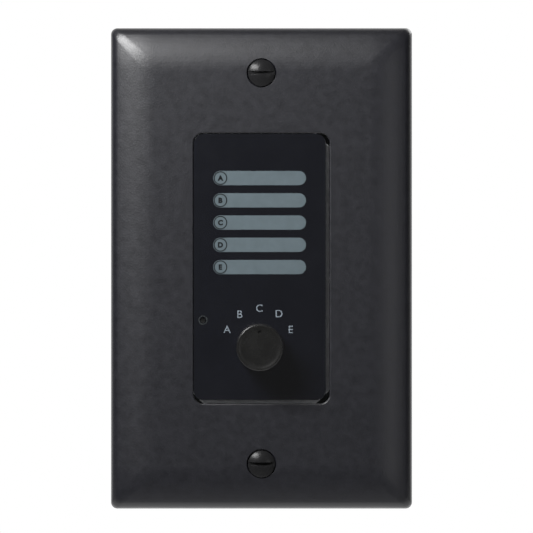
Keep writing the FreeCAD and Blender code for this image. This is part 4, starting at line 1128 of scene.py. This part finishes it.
@dataclass
class WallPlate:
    """Moulded plate with a crowned edge, a rounded opening, two screw seats and ribs. Sizes in millimetres.

    Its edge rises from the wall in a drafted rim, turns over a tight shoulder and runs in over a wide crown.
    """

    width: float = 74.6
    height: float = 119.1
    depth: float = 5.6
    skin: float = 2.0
    corner: float = 1.6
    corner_growth: float = 0.12
    least_corner: float = 0.4
    corner_steps: int = 12
    draft_deg: float = 7.0
    shoulder: float = 2.6
    shoulder_steps: int = 8
    crown: float = 24.0
    crown_slope_deg: float = 22.0
    crown_steps: int = 12
    corner_share: float = 0.35
    shoulder_give: float = 0.3
    least_rim: float = 0.05
    fall_rows: int = 9
    halvings: int = 24
    opening_width: float = 33.7
    opening_height: float = 67.0
    opening_corner: float = 2.4
    opening_edge: float = 0.35
    opening_steps: int = 5
    collar_wall: float = 1.2
    collar_reach: float = 0.5
    screw_spacing: float = 96.84
    seat_radius: float = 3.6
    seat_edge: float = 0.14
    seat_wall: float = 0.55
    seat_angle_deg: float = 41.0
    seat_steps: int = 72
    hole_radius: float = 1.95
    rib_width: float = 1.0
    rib_reach: float = 1.5
    rib_root: float = 0.4
    rib_inner_gap: float = 0.6
    rib_outer_gap: float = 0.5
    rib_spacing: float = 22.0
    ribs_per_side: int = 5
    screw_rib_height: float = 6.0
    screw_rib_reach: float = 2.2
    screw_rib_offset: float = 3.2

    def rim_height(self) -> float:
        """Give the height of the drafted rim, from which shoulder and crown rise to the flat face.

        Returns:
            The height above the wall.
        """
        draft, slope = math.radians(self.draft_deg), math.radians(self.crown_slope_deg)
        shoulder_rise = self.shoulder * (math.cos(slope) - math.sin(draft))
        return self.depth - self.crown * (1.0 - math.cos(slope)) - shoulder_rise

    def shoulder_centre(self) -> Point:
        """Give inset and height above the wall of the centre of the shoulder's arc.

        Returns:
            The inset and the height.
        """
        draft, rim_height = math.radians(self.draft_deg), self.rim_height()
        inset = rim_height * math.tan(draft) + self.shoulder * math.cos(draft)
        return inset, rim_height - self.shoulder * math.sin(draft)

    def flat_inset(self) -> float:
        """Give the inset at which the crowned edge runs into the flat face."""
        run = (self.crown - self.shoulder) * math.sin(math.radians(self.crown_slope_deg))
        return self.shoulder_centre()[0] + run

    def edge_profile(self, skin: float) -> list[Point]:
        """Follow the edge from the wall up to the flat face.

        Args:
            skin: Distance inwards from the outer surface.

        Returns:
            Inset from the outline and depth of each point.
        """
        inset, height = self.shoulder_centre()
        bend_deg = -90.0 - self.crown_slope_deg
        start_deg = self.draft_deg - 180.0
        points = [(skin / math.cos(math.radians(self.draft_deg)), 0.0)]
        points += arc((inset, -height), self.shoulder - skin, start_deg, bend_deg, self.shoulder_steps)
        centre = (self.flat_inset(), self.crown - self.depth)
        return points + arc(centre, self.crown - skin, bend_deg, -90.0, self.crown_steps)[1:]

    def outer_ring(self, inset: float, depth: float, skin: float = 0.0) -> Ring:
        """Give the plate's outline at an inset."""
        radius = max(self.least_corner, self.corner - skin) + self.corner_growth * inset
        return Ring(self.width - 2 * inset, self.height - 2 * inset, radius, depth)

    def opening_ring(self, margin: float, depth: float) -> Ring:
        """Give the opening's outline, grown by a margin."""
        radius = self.opening_corner + margin
        return Ring(self.opening_width + 2 * margin, self.opening_height + 2 * margin, radius, depth)

    def rings(self) -> list[Ring]:
        """Give all sections, from the rim over the face and the opening back to the rim.

        Returns:
            The sections in order.
        """
        inside, edge = self.skin - self.depth, self.opening_edge
        collar = inside + self.collar_reach
        rings = [self.outer_ring(inset, depth) for inset, depth in self.edge_profile(0.0)]
        rounding = arc((edge, edge - self.depth), edge, -90.0, -180.0, self.opening_steps)
        rings += [self.opening_ring(margin, depth) for margin, depth in rounding]
        rings += [self.opening_ring(0.0, collar), self.opening_ring(self.collar_wall, collar)]
        rings.append(self.opening_ring(self.collar_wall, inside))
        back = reversed(self.edge_profile(self.skin))
        return rings + [self.outer_ring(inset, depth, self.skin) for inset, depth in back]

    def add_ribs(self, plate: Piece) -> None:
        """Add the stiffening ribs behind the face and beside the screw holes.

        Args:
            plate: The plate.
        """
        inside = self.skin - self.depth
        start = self.opening_width / 2 + self.collar_wall + self.rib_inner_gap
        end = self.width / 2 - self.skin - self.rib_outer_gap
        ribs = []
        for row in range(self.ribs_per_side):
            z = (row - (self.ribs_per_side - 1) / 2) * self.rib_spacing
            for side in (-1, 1):
                ribs.append((end - start, self.rib_width, self.rib_reach, side * (start + end) / 2, z))
        for side in (-1, 1):
            for x in (-self.screw_rib_offset, self.screw_rib_offset):
                z = side * self.screw_spacing / 2
                ribs.append((self.rib_width, self.screw_rib_height, self.screw_rib_reach, x, z))
        for width, height, reach, x, z in ribs:
            rib = bar(width, height, inside - self.rib_root, inside + reach, x, z)
            combine(plate, Meeting.FUSE, rib)

    def cut_seats(self, plate: Piece) -> None:
        """Cut the two countersunk screw seats with their holes.

        Args:
            plate: The plate.
        """
        front, rim = -self.depth, self.seat_radius + self.seat_edge
        wall_end = front + self.seat_wall
        run = (self.seat_radius - self.hole_radius) / math.tan(math.radians(self.seat_angle_deg))
        profile = [(0.0, front - PAST), (rim, front - PAST), (rim, front)]
        profile += [(self.seat_radius, front + self.seat_edge), (self.seat_radius, wall_end)]
        profile += [(self.hole_radius, wall_end + run), (self.hole_radius, PAST), (0.0, PAST)]
        for side in (-1, 1):
            seat = turned(profile, 0.0, side * self.screw_spacing / 2, self.seat_steps)
            combine(plate, Meeting.CUT, seat)

    def crown_fall(self, inset: float) -> float:
        """Give how far the crown, carried on to the outline, lies below the flat face at an inset."""
        run = max(0.0, self.flat_inset() - inset)
        return self.crown - math.sqrt(self.crown**2 - run**2)

    def inset_at(self, across: float, up: float) -> float:
        """Find the inset of the outline that passes through a place near a corner.

        Args:
            across: Distance from the nearer side.
            up: Distance from the nearer end.

        Returns:
            The inset, halved in on from both sides.
        """
        low, high = 0.0, min(across, up)
        for _ in range(self.halvings):
            inset = (low + high) / 2
            radius = self.corner + self.corner_growth * inset
            x, z = max(0.0, radius - across + inset), max(0.0, radius - up + inset)
            low, high = (inset, high) if math.hypot(x, z) < radius else (low, inset)
        return high

    def corner_drop(self, across: float, up: float) -> float:
        """Find how far a place near a corner sinks, on the shoulder less than on the crown.

        Args:
            across: Distance from the nearer side.
            up: Distance from the nearer end.

        Returns:
            The distance towards the wall.
        """
        inset = self.inset_at(across, up)
        fall = self.crown_fall(inset)
        drop = (self.crown_fall(across) + self.crown_fall(up) - fall) * self.corner_share
        if inset >= self.skin:
            return drop
        level = min(self.edge_profile(0.0)[1:], key=lambda point: abs(point[0] - inset))[1]
        return drop * (1.0 - max(0.0, level + self.depth - fall) * self.shoulder_give)

    def sink_corners(self, plate: Piece) -> None:
        """Let the two crowned edges that meet at a corner fall away together.

        Args:
            plate: The lofted plate.
        """
        flat, mid_rim = self.flat_inset(), -self.rim_height() / 2
        with editing(plate):
            for row in range(1, self.fall_rows + 1):
                inset = flat * row / self.fall_rows
                for side in (-1, 1):
                    x, z = side * (self.width / 2 - inset), side * (self.height / 2 - inset)
                    planes = [((x * MM, 0.0, 0.0), (1, 0, 0)), ((0.0, 0.0, z * MM), (0, 0, 1))]
                    for place, normal in planes:
                        bpy.ops.mesh.select_all(action="SELECT")
                        bpy.ops.mesh.bisect(plane_co=place, plane_no=normal)
        for vertex in plate.data.vertices:
            across = self.width / 2 - abs(vertex.co.x) / MM
            up = self.height / 2 - abs(vertex.co.z) / MM
            depth = vertex.co.y / MM
            if max(across, up) < flat and depth < mid_rim:
                vertex.co.y = min(-self.least_rim, depth + self.corner_drop(across, up)) * MM

    def build(self) -> None:
        """Build the plate."""
        plate = loft(self.rings(), self.corner_steps, closed=True)
        self.add_ribs(plate)
        self.cut_seats(plate)
        self.sink_corners(plate)
        outward(plate)
        smooth(plate)
        hand_over(plate, "crowned_wall_plate", Part.CHASSIS, Palette.PLATE, ["wall_plate"])


@dataclass
class SlottedScrews:
    """Pair of slotted machine screws, one above the other. Sizes in millimetres."""

    name: str
    node: str
    finish: Finish
    spacing: float
    slot_floor: float
    slot_width: float
    thread_start: float
    thread_end: float
    crest: float = 1.75
    root: float = 1.33
    pitch: float = 0.79
    thread_steps: int = 28
    spare_turns: int = 2
    edge: float = 0.09

    def head(self) -> list[Point]:
        """Give the profile of the head and of the neck under it, from axis to axis."""
        raise NotImplementedError

    def thread(self) -> Piece:
        """Wind the thread.

        Returns:
            The closed thread with its core, on the depth axis.
        """
        start = self.thread_start - self.pitch
        tooth = [(self.root, start), (self.crest, start + self.pitch / 2), (self.root, start + self.pitch)]
        piece = drawn_line(tooth)
        turns = math.ceil((self.thread_end - self.thread_start) / self.pitch) + self.spare_turns
        steps = {"steps": self.thread_steps, "render_steps": self.thread_steps}
        apply_modifier(piece, "SCREW", axis="Y", iterations=turns, screw_offset=self.pitch * MM, **steps)
        outward(piece)
        for depth, side in ((self.thread_start, -1.0), (self.thread_end, 1.0)):
            plane = {"plane_co": (0.0, depth * MM, 0.0), "plane_no": (0.0, side, 0.0)}
            with editing(piece):
                bpy.ops.mesh.bisect(use_fill=True, clear_outer=True, **plane)
        outward(piece)
        return piece

    def build(self) -> None:
        """Build one screw, and copy it to both places."""
        head = self.head()
        screw = turned(head, 0.0, 0.0)
        wide = 2 * max(radius for radius, _ in head) + PAST
        slot = bar(wide, self.slot_width, head[0][1] - PAST, self.slot_floor, 0.0, 0.0)
        combine(screw, Meeting.CUT, slot)
        outward(screw)
        soften(screw, self.edge)
        joined([screw, self.thread()])
        smooth(screw)
        alone(screw)
        bpy.ops.object.duplicate()
        copy = bpy.context.object
        pair = joined([moved(screw, 0.0, self.spacing / 2), moved(copy, 0.0, -self.spacing / 2)])
        hand_over(pair, self.name, Part.CHASSIS, self.finish, [self.node])


@dataclass
class OvalScrews(SlottedScrews):
    """Oval-head screws that hold the wall plate."""

    name: str = "oval_plate_screws"
    node: str = "plate_screws"
    finish: Finish = Palette.SCREW
    spacing: float = 96.84
    slot_floor: float = -5.4
    slot_width: float = 0.75
    thread_start: float = -3.0
    thread_end: float = 7.1
    dome_height: float = 0.9
    dome_edge: float = -5.362
    dome_steps: int = 12
    rim_radius: float = 3.35
    rim: float = -5.3
    cone_end: float = -3.52
    neck_start: float = -3.4
    neck_end: float = -2.9

    def head(self) -> list[Point]:
        """Give the dome, the cone under it and the neck.

        Returns:
            Radius and depth of each point.
        """
        radius, half_deg = shallow_arc(self.rim_radius, self.dome_height)
        centre = (0.0, self.dome_edge - self.dome_height + radius)
        dome = arc(centre, radius, -90.0, half_deg - 90.0, self.dome_steps)
        cone = [(self.rim_radius, self.rim), (self.crest, self.cone_end)]
        return dome + cone + [(self.root, self.neck_start), (self.root, self.neck_end), (0.0, self.neck_end)]


@dataclass
class PanScrews(SlottedScrews):
    """Pan-head screws that hold the chassis to the wall box, with a neck that keeps them captive."""

    name: str = "pan_box_screws"
    node: str = "box_screws"
    finish: Finish = Palette.ZINC
    spacing: float = 83.34
    slot_floor: float = -2.2
    slot_width: float = 0.9
    thread_start: float = 0.1
    thread_end: float = 22.0
    top: float = -3.1
    top_radius: float = 2.4
    bend: float = -2.9
    bend_radius: float = 2.95
    rim: float = -2.5
    rim_radius: float = 3.2
    seat: float = -1.2
    neck_radius: float = 1.5
    neck_end: float = 0.2

    def head(self) -> list[Point]:
        """Give the pan head and the captive neck.

        Returns:
            Radius and depth of each point.
        """
        pan = [(0.0, self.top), (self.top_radius, self.top), (self.bend_radius, self.bend)]
        pan += [(self.rim_radius, self.rim), (self.rim_radius, self.seat)]
        return pan + [(self.neck_radius, self.seat), (self.neck_radius, self.neck_end), (0.0, self.neck_end)]


@dataclass(frozen=True)
class Dressed:
    """CAD node that keeps its form: merged, with its edges broken and its curves smooth."""

    node: str
    name: str
    finish: Finish
    edge: float
    part: Part = Part.CHASSIS

    def build(self) -> None:
        """Copy the node's mesh, merge its triangles, dissolve its flat faces and finish it."""
        piece = bpy.data.objects.new(self.name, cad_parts[self.node].data.copy())
        bpy.context.scene.collection.objects.link(piece)
        piece.data.materials.clear()
        with editing(piece):
            bpy.ops.mesh.remove_doubles(threshold=SAME_PLACE)
            bpy.ops.mesh.dissolve_limited(angle_limit=FLAT_ANGLE)
        soften(piece, self.edge)
        smooth(piece)
        hand_over(piece, self.name, self.part, self.finish, [self.node])


@dataclass
class ControlPanel:
    """Gloss panel with five label fields, a printed dial and a status window. Sizes in millimetres."""

    width: float = 32.7
    height: float = 65.9
    corner: float = 2.4
    corner_steps: int = 12
    x: float = -0.44
    z: float = 0.35
    back: float = -3.0
    face: float = -5.2
    edge: float = 0.03
    edge_steps: int = 5
    field_width: float = 23.0
    field_height: float = 3.57
    field_end_flat: float = 0.005
    field_end_steps: int = 14
    field_pitch: float = 5.51
    field_top: float = 22.35
    field_face: float = -5.35
    field_edge: float = 0.06
    ring_radius: float = 1.68
    ring_line: float = 0.26
    ink: float = 0.012
    letters: str = "ABCDE"
    letter_height: float = 1.38
    letter_weight: float = 0.06
    dial_letter_height: float = 1.82
    dial_letter_weight: float = 0.0
    dial_radii: tuple[float, ...] = (9.22, 9.57, 9.72, 9.64, 8.9)
    dial_start_deg: float = 151.1
    dial_step_deg: float = -30.3
    axis_z: float = -19.56
    shaft_hole: float = 5.496
    lamp_x: float = -14.5
    lamp_z: float = -12.8
    lamp_radius: float = 0.72
    bezel_radius: float = 1.12
    bezel_line: float = 0.26
    behind: tuple[Dressed, ...] = (
        Dressed("light_pipe", "status_light_pipe", Palette.PIPE, 0.08),
        Dressed("status_led", "status_lamp", Palette.LAMP, 0.05),
        Dressed("panel_adhesive", "foam_tape_sheet", Palette.TAPE, 0.03),
    )

    def build(self) -> None:
        """Build the panel, its fields, its print and what lies behind it."""
        self.panel()
        self.fields()
        self.dial()
        bezel = self.ring(self.bezel_radius, self.bezel_line, self.face, self.lamp_x, self.lamp_z)
        hand_over(bezel, "status_bezel", Part.CHASSIS, Palette.BEZEL)
        for piece in self.behind:
            piece.build()

    def panel(self) -> None:
        """Build the panel with its rounded edge and its two holes."""
        rings = [Ring(self.width, self.height, self.corner, self.back, self.x, self.z)]
        for reach, depth in arc((0.0, self.face + self.edge), self.edge, 0.0, -90.0, self.edge_steps):
            inset = self.edge - reach
            size = (self.width - 2 * inset, self.height - 2 * inset)
            rings.append(Ring(*size, self.corner - inset, depth, self.x, self.z))
        panel = loft(rings, self.corner_steps)
        front, back = self.face - PAST, self.back + PAST
        holes = [(self.shaft_hole, self.x, self.axis_z), (self.lamp_radius, self.lamp_x, self.lamp_z)]
        for radius, x, z in holes:
            hole = turned([(0.0, front), (radius, front), (radius, back), (0.0, back)], x, z)
            combine(panel, Meeting.CUT, hole)
        outward(panel)
        smooth(panel)
        hand_over(panel, "gloss_front_panel", Part.CHASSIS, Palette.PANEL, ["front_panel"])

    def fields(self) -> None:
        """Build the five fields and their ringed letters."""
        labels, marks = [], []
        shoulder = self.field_face + self.field_edge
        for row, letter in enumerate(self.letters):
            z = self.field_top - row * self.field_pitch
            rings = [self.field_ring(0.0, self.face, z), self.field_ring(0.0, shoulder, z)]
            rings.append(self.field_ring(self.field_edge, self.field_face, z))
            labels.append(loft(rings, self.field_end_steps))
            end = self.x - self.field_width / 2 + self.field_height / 2
            marks.append(self.ring(self.ring_radius, self.ring_line, self.field_face, end, z))
            marks.append(lettering(letter, self.letter_height, end, self.field_face, z, self.letter_weight))
        label = joined(labels)
        smooth(label)
        hand_over(label, "source_fields", Part.CHASSIS, Palette.LABEL, ["label_fields"])
        hand_over(joined(marks), "field_letters", Part.CHASSIS, Palette.DARK_INK)

    def field_ring(self, inset: float, depth: float, z: float) -> Ring:
        """Give the outline of a field, drawn in by an inset."""
        height = self.field_height - 2 * inset
        return Ring(self.field_width - 2 * inset, height, height / 2 - self.field_end_flat, depth, self.x, z)

    def ring(self, radius: float, line: float, depth: float, x: float, z: float) -> Piece:
        """Print a thin ring.

        Args:
            radius: Outer radius.
            line: Width of the line.
            depth: Depth of the surface that it is printed on.
            x: Middle along X.
            z: Middle along Z.

        Returns:
            The ring.
        """
        low, high, inner = depth - self.ink, depth + self.ink, radius - line
        return turned([(radius, high), (radius, low), (inner, low), (inner, high), (radius, high)], x, z)

    def dial(self) -> None:
        """Print the dial letters round the knob."""
        marks = []
        for number, (letter, radius) in enumerate(zip(self.letters, self.dial_radii)):
            angle = math.radians(self.dial_start_deg + number * self.dial_step_deg)
            x, z = self.x + radius * math.cos(angle), self.axis_z + radius * math.sin(angle)
            size, weight = self.dial_letter_height, self.dial_letter_weight
            marks.append(lettering(letter, size, x, self.face, z, weight))
        hand_over(joined(marks), "dial_letters", Part.CHASSIS, Palette.LEGEND)


@dataclass
class SelectorKnob:
    """Tapered push-on knob with a dished face and a pointer dimple. Sizes in millimetres."""

    x: float = -0.44
    z: float = -19.56
    foot: float = -5.7
    foot_radius: float = 5.85
    foot_edge: float = 0.15
    foot_steps: int = 3
    face: float = -16.7
    face_radius: float = 5.7
    edge: float = 0.26
    edge_steps: int = 8
    steps: int = 128
    dish_radius: float = 5.2
    dish_run: float = 1.1
    dish_depth: float = 0.13
    dish_steps: int = 5
    bore_radius: float = 3.05
    bore_end: float = -14.9
    bore_flat: float = 1.95
    bore_steps: int = 48
    flat_width: float = 8.0
    flat_height: float = 4.0
    dimple_offset: float = 3.88
    dimple_radius: float = 0.4
    dimple_depth: float = 0.45
    dimple_round: float = 0.08
    dimple_steps: int = 40

    def profile(self) -> list[Point]:
        """Follow the dished face, the tapered side and the foot.

        Returns:
            Radius and depth of each point, from axis to axis.
        """
        taper_deg = math.degrees(math.atan((self.foot_radius - self.face_radius) / (self.foot - self.face)))
        bend, rise_deg = shallow_arc(self.dish_run, self.dish_depth)
        floor = self.face + self.dish_depth
        dish = (self.dish_radius - self.dish_run, floor - bend)
        rim = (self.face_radius - self.edge, self.face + self.edge)
        foot = (self.foot_radius - self.foot_edge, self.foot - self.foot_edge)
        points = [(0.0, floor)]
        points += arc(dish, bend, 90.0, 90.0 - rise_deg, self.dish_steps)
        points += arc(rim, self.edge, -90.0, taper_deg, self.edge_steps)
        return points + arc(foot, self.foot_edge, 0.0, 90.0, self.foot_steps) + [(0.0, self.foot)]

    def sink_bore(self, knob: Piece) -> None:
        """Cut the D-shaped bore.

        Args:
            knob: The knob.
        """
        end, start = self.bore_end, self.foot + PAST
        bore = [(0.0, end), (self.bore_radius, end), (self.bore_radius, start), (0.0, start)]
        tool = turned(bore, self.x, self.z, self.bore_steps)
        z = self.z + self.bore_flat + self.flat_height / 2
        flat = bar(self.flat_width, self.flat_height, end - PAST, start + PAST, self.x, z)
        combine(tool, Meeting.CUT, flat)
        combine(knob, Meeting.CUT, tool)

    def sink_dimple(self, knob: Piece) -> None:
        """Sink the round pointer mark into the face.

        Args:
            knob: The knob.
        """
        front, floor = self.face - PAST, self.face + self.dish_depth + self.dimple_depth
        radius, edge = self.dimple_radius, self.dimple_round
        points = [(0.0, front), (radius, front), (radius, floor - edge), (radius - edge, floor), (0.0, floor)]
        dimple = turned(points, self.x, self.z + self.dimple_offset, self.dimple_steps)
        combine(knob, Meeting.CUT, dimple)

    def build(self) -> None:
        """Build the knob."""
        knob = turned(self.profile(), self.x, self.z, self.steps)
        self.sink_bore(knob)
        self.sink_dimple(knob)
        outward(knob)
        smooth(knob)
        hand_over(knob, "source_selector_knob", Part.SELECTOR, Palette.KNOB, ["selector_knob"])


@dataclass
class DressedAssembly:
    """Sub-assembly whose pieces keep the form of their CAD nodes."""

    pieces: tuple[Dressed, ...] = ()

    def build(self) -> None:
        """Finish each piece."""
        for piece in self.pieces:
            piece.build()


@dataclass
class FoldedChassis(DressedAssembly):
    """Folded sheet chassis with its ears and flanges."""

    pieces: tuple[Dressed, ...] = (Dressed("chassis_yoke", "folded_chassis", Palette.SHEET, 0.12),)


@dataclass
class RotarySwitch(DressedAssembly):
    """Rotary switch with its nut, washer, housing, rotor, detent, wiper and contacts."""

    pieces: tuple[Dressed, ...] = (
        Dressed("switch_clamp", "tinned_clamp", Palette.TINNED, 0.06),
        Dressed("switch_bushing", "cast_bushing", Palette.CAST, 0.1),
        Dressed("bushing_nut", "hex_nut", Palette.NICKEL, 0.12),
        Dressed("lock_washer", "tooth_washer", Palette.SPRING, 0.04),
        Dressed("switch_housing", "moulded_housing", Palette.SWITCH, 0.12),
        Dressed("switch_stator", "contact_base", Palette.PHENOLIC, 0.08),
        Dressed("switch_contacts", "position_contacts", Palette.BRONZE, 0.03),
        Dressed("switch_rotor", "shaft_and_rotor", Palette.ACETAL, 0.08, Part.SELECTOR),
        Dressed("detent_plungers", "detent_pins", Palette.ACETAL, 0.05, Part.SELECTOR),
        Dressed("detent_spring", "detent_coil", Palette.SPRING, 0.03, Part.SELECTOR),
        Dressed("wiper_contact", "sprung_wiper", Palette.BRONZE, 0.03, Part.SELECTOR),
        Dressed("knob_clip", "bore_clip", Palette.SPRING, 0.02, Part.SELECTOR),
    )


@dataclass
class ModularJack(DressedAssembly):
    """Modular jack with its shield and sprung wires."""

    pieces: tuple[Dressed, ...] = (
        Dressed("jack_housing", "jack_body", Palette.JACK, 0.15),
        Dressed("jack_shield", "jack_cover", Palette.TINNED, 0.06),
        Dressed("jack_contacts", "jack_wires", Palette.GOLD, 0.04),
    )


@dataclass
class BoardAssembly(DressedAssembly):
    """Circuit board with its resistors, solder, standoffs and screws. Sizes in millimetres."""

    pieces: tuple[Dressed, ...] = (
        Dressed("circuit_board", "masked_board", Palette.BOARD, 0.08),
        Dressed("board_standoffs", "hex_standoffs", Palette.ZINC, 0.12),
        Dressed("board_screws", "hex_board_screws", Palette.ZINC, 0.1),
        Dressed("chip_resistors", "chip_ladder", Palette.CHIP, 0.04),
    )
    resistor_count: int = 6
    resistor_pitch: float = 3.2
    resistor_z: float = -3.0
    resistor_length: float = 2.0
    resistor_width: float = 1.25
    cap_length: float = 0.4
    cap_height: float = 0.56
    cap_skin: float = 0.015
    cap_edge: float = 0.05
    solder_foot: float = 0.95
    solder_rise: float = 0.7
    solder_steps: int = 24
    pin_half: float = 0.42
    solder_shape: tuple[Point, ...] = ((1.0, 0.0), (0.45, 0.2), (0.15, 0.55), (0.0, 1.0))

    def caps(self, back: float) -> Piece:
        """Wrap the tinned end caps round the resistors.

        Args:
            back: Depth of the board's rear face.

        Returns:
            All caps in one piece.
        """
        caps = []
        width, length = self.resistor_width + 2 * self.cap_skin, self.cap_length + self.cap_skin
        for number in range(self.resistor_count):
            x = self.resistor_pitch * (number - (self.resistor_count - 1) / 2)
            for side in (-1, 1):
                z = self.resistor_z + side * (self.resistor_length - self.cap_length + self.cap_skin) / 2
                caps.append(bar(width, length, back, back + self.cap_height + self.cap_skin, x, z))
        cap = joined(caps)
        soften(cap, self.cap_edge)
        return cap

    def pin_places(self, beyond: float) -> list[Point]:
        """Find the pins of the switch where they stand out behind a depth.

        Args:
            beyond: Depth in millimetres.

        Returns:
            Sideways place and height of each pin's middle.
        """
        pins: list[list[Vector]] = []
        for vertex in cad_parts["switch_contacts"].data.vertices:
            place = vertex.co / MM
            if place.y > beyond:
                near = [points for points in pins if (points[0] - place).xz.length < self.solder_foot]
                if near:
                    near[0].append(place)
                else:
                    pins.append([place])
        return [tuple(sum(points, Vector()).xz / len(points)) for points in pins]

    def solder(self, back: float) -> Piece:
        """Run solder up each pin of the switch.

        Args:
            back: Depth of the board's rear face.

        Returns:
            All fillets in one piece.
        """
        run, top = self.solder_foot - self.pin_half, back + self.solder_rise
        slope = [(self.pin_half + run * out, back + self.solder_rise * up) for out, up in self.solder_shape]
        profile = [(0.0, back), *slope, (0.0, top)]
        return joined([turned(profile, x, z, self.solder_steps) for x, z in self.pin_places(top)])

    def build(self) -> None:
        """Build caps and solder, and finish each piece of the board."""
        back = max(vertex.co.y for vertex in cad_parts["circuit_board"].data.vertices) / MM
        caps = (self.caps(back), "chip_caps", Palette.CHIP_CAP)
        solder = (self.solder(back), "solder_fillets", Palette.SOLDER)
        for piece, name, finish in (caps, solder):
            outward(piece)
            smooth(piece)
            hand_over(piece, name, Part.CHASSIS, finish)
        super().build()


def main() -> None:
    """Build the object, piece by piece, and its surroundings."""
    logging.basicConfig(level=logging.INFO, format="%(message)s")
    Studio().build()
    WallPlate().build()
    OvalScrews().build()
    PanScrews().build()
    ControlPanel().build()
    SelectorKnob().build()
    FoldedChassis().build()
    RotarySwitch().build()
    BoardAssembly().build()
    ModularJack().build()


if __name__ == "__main__":
    main()
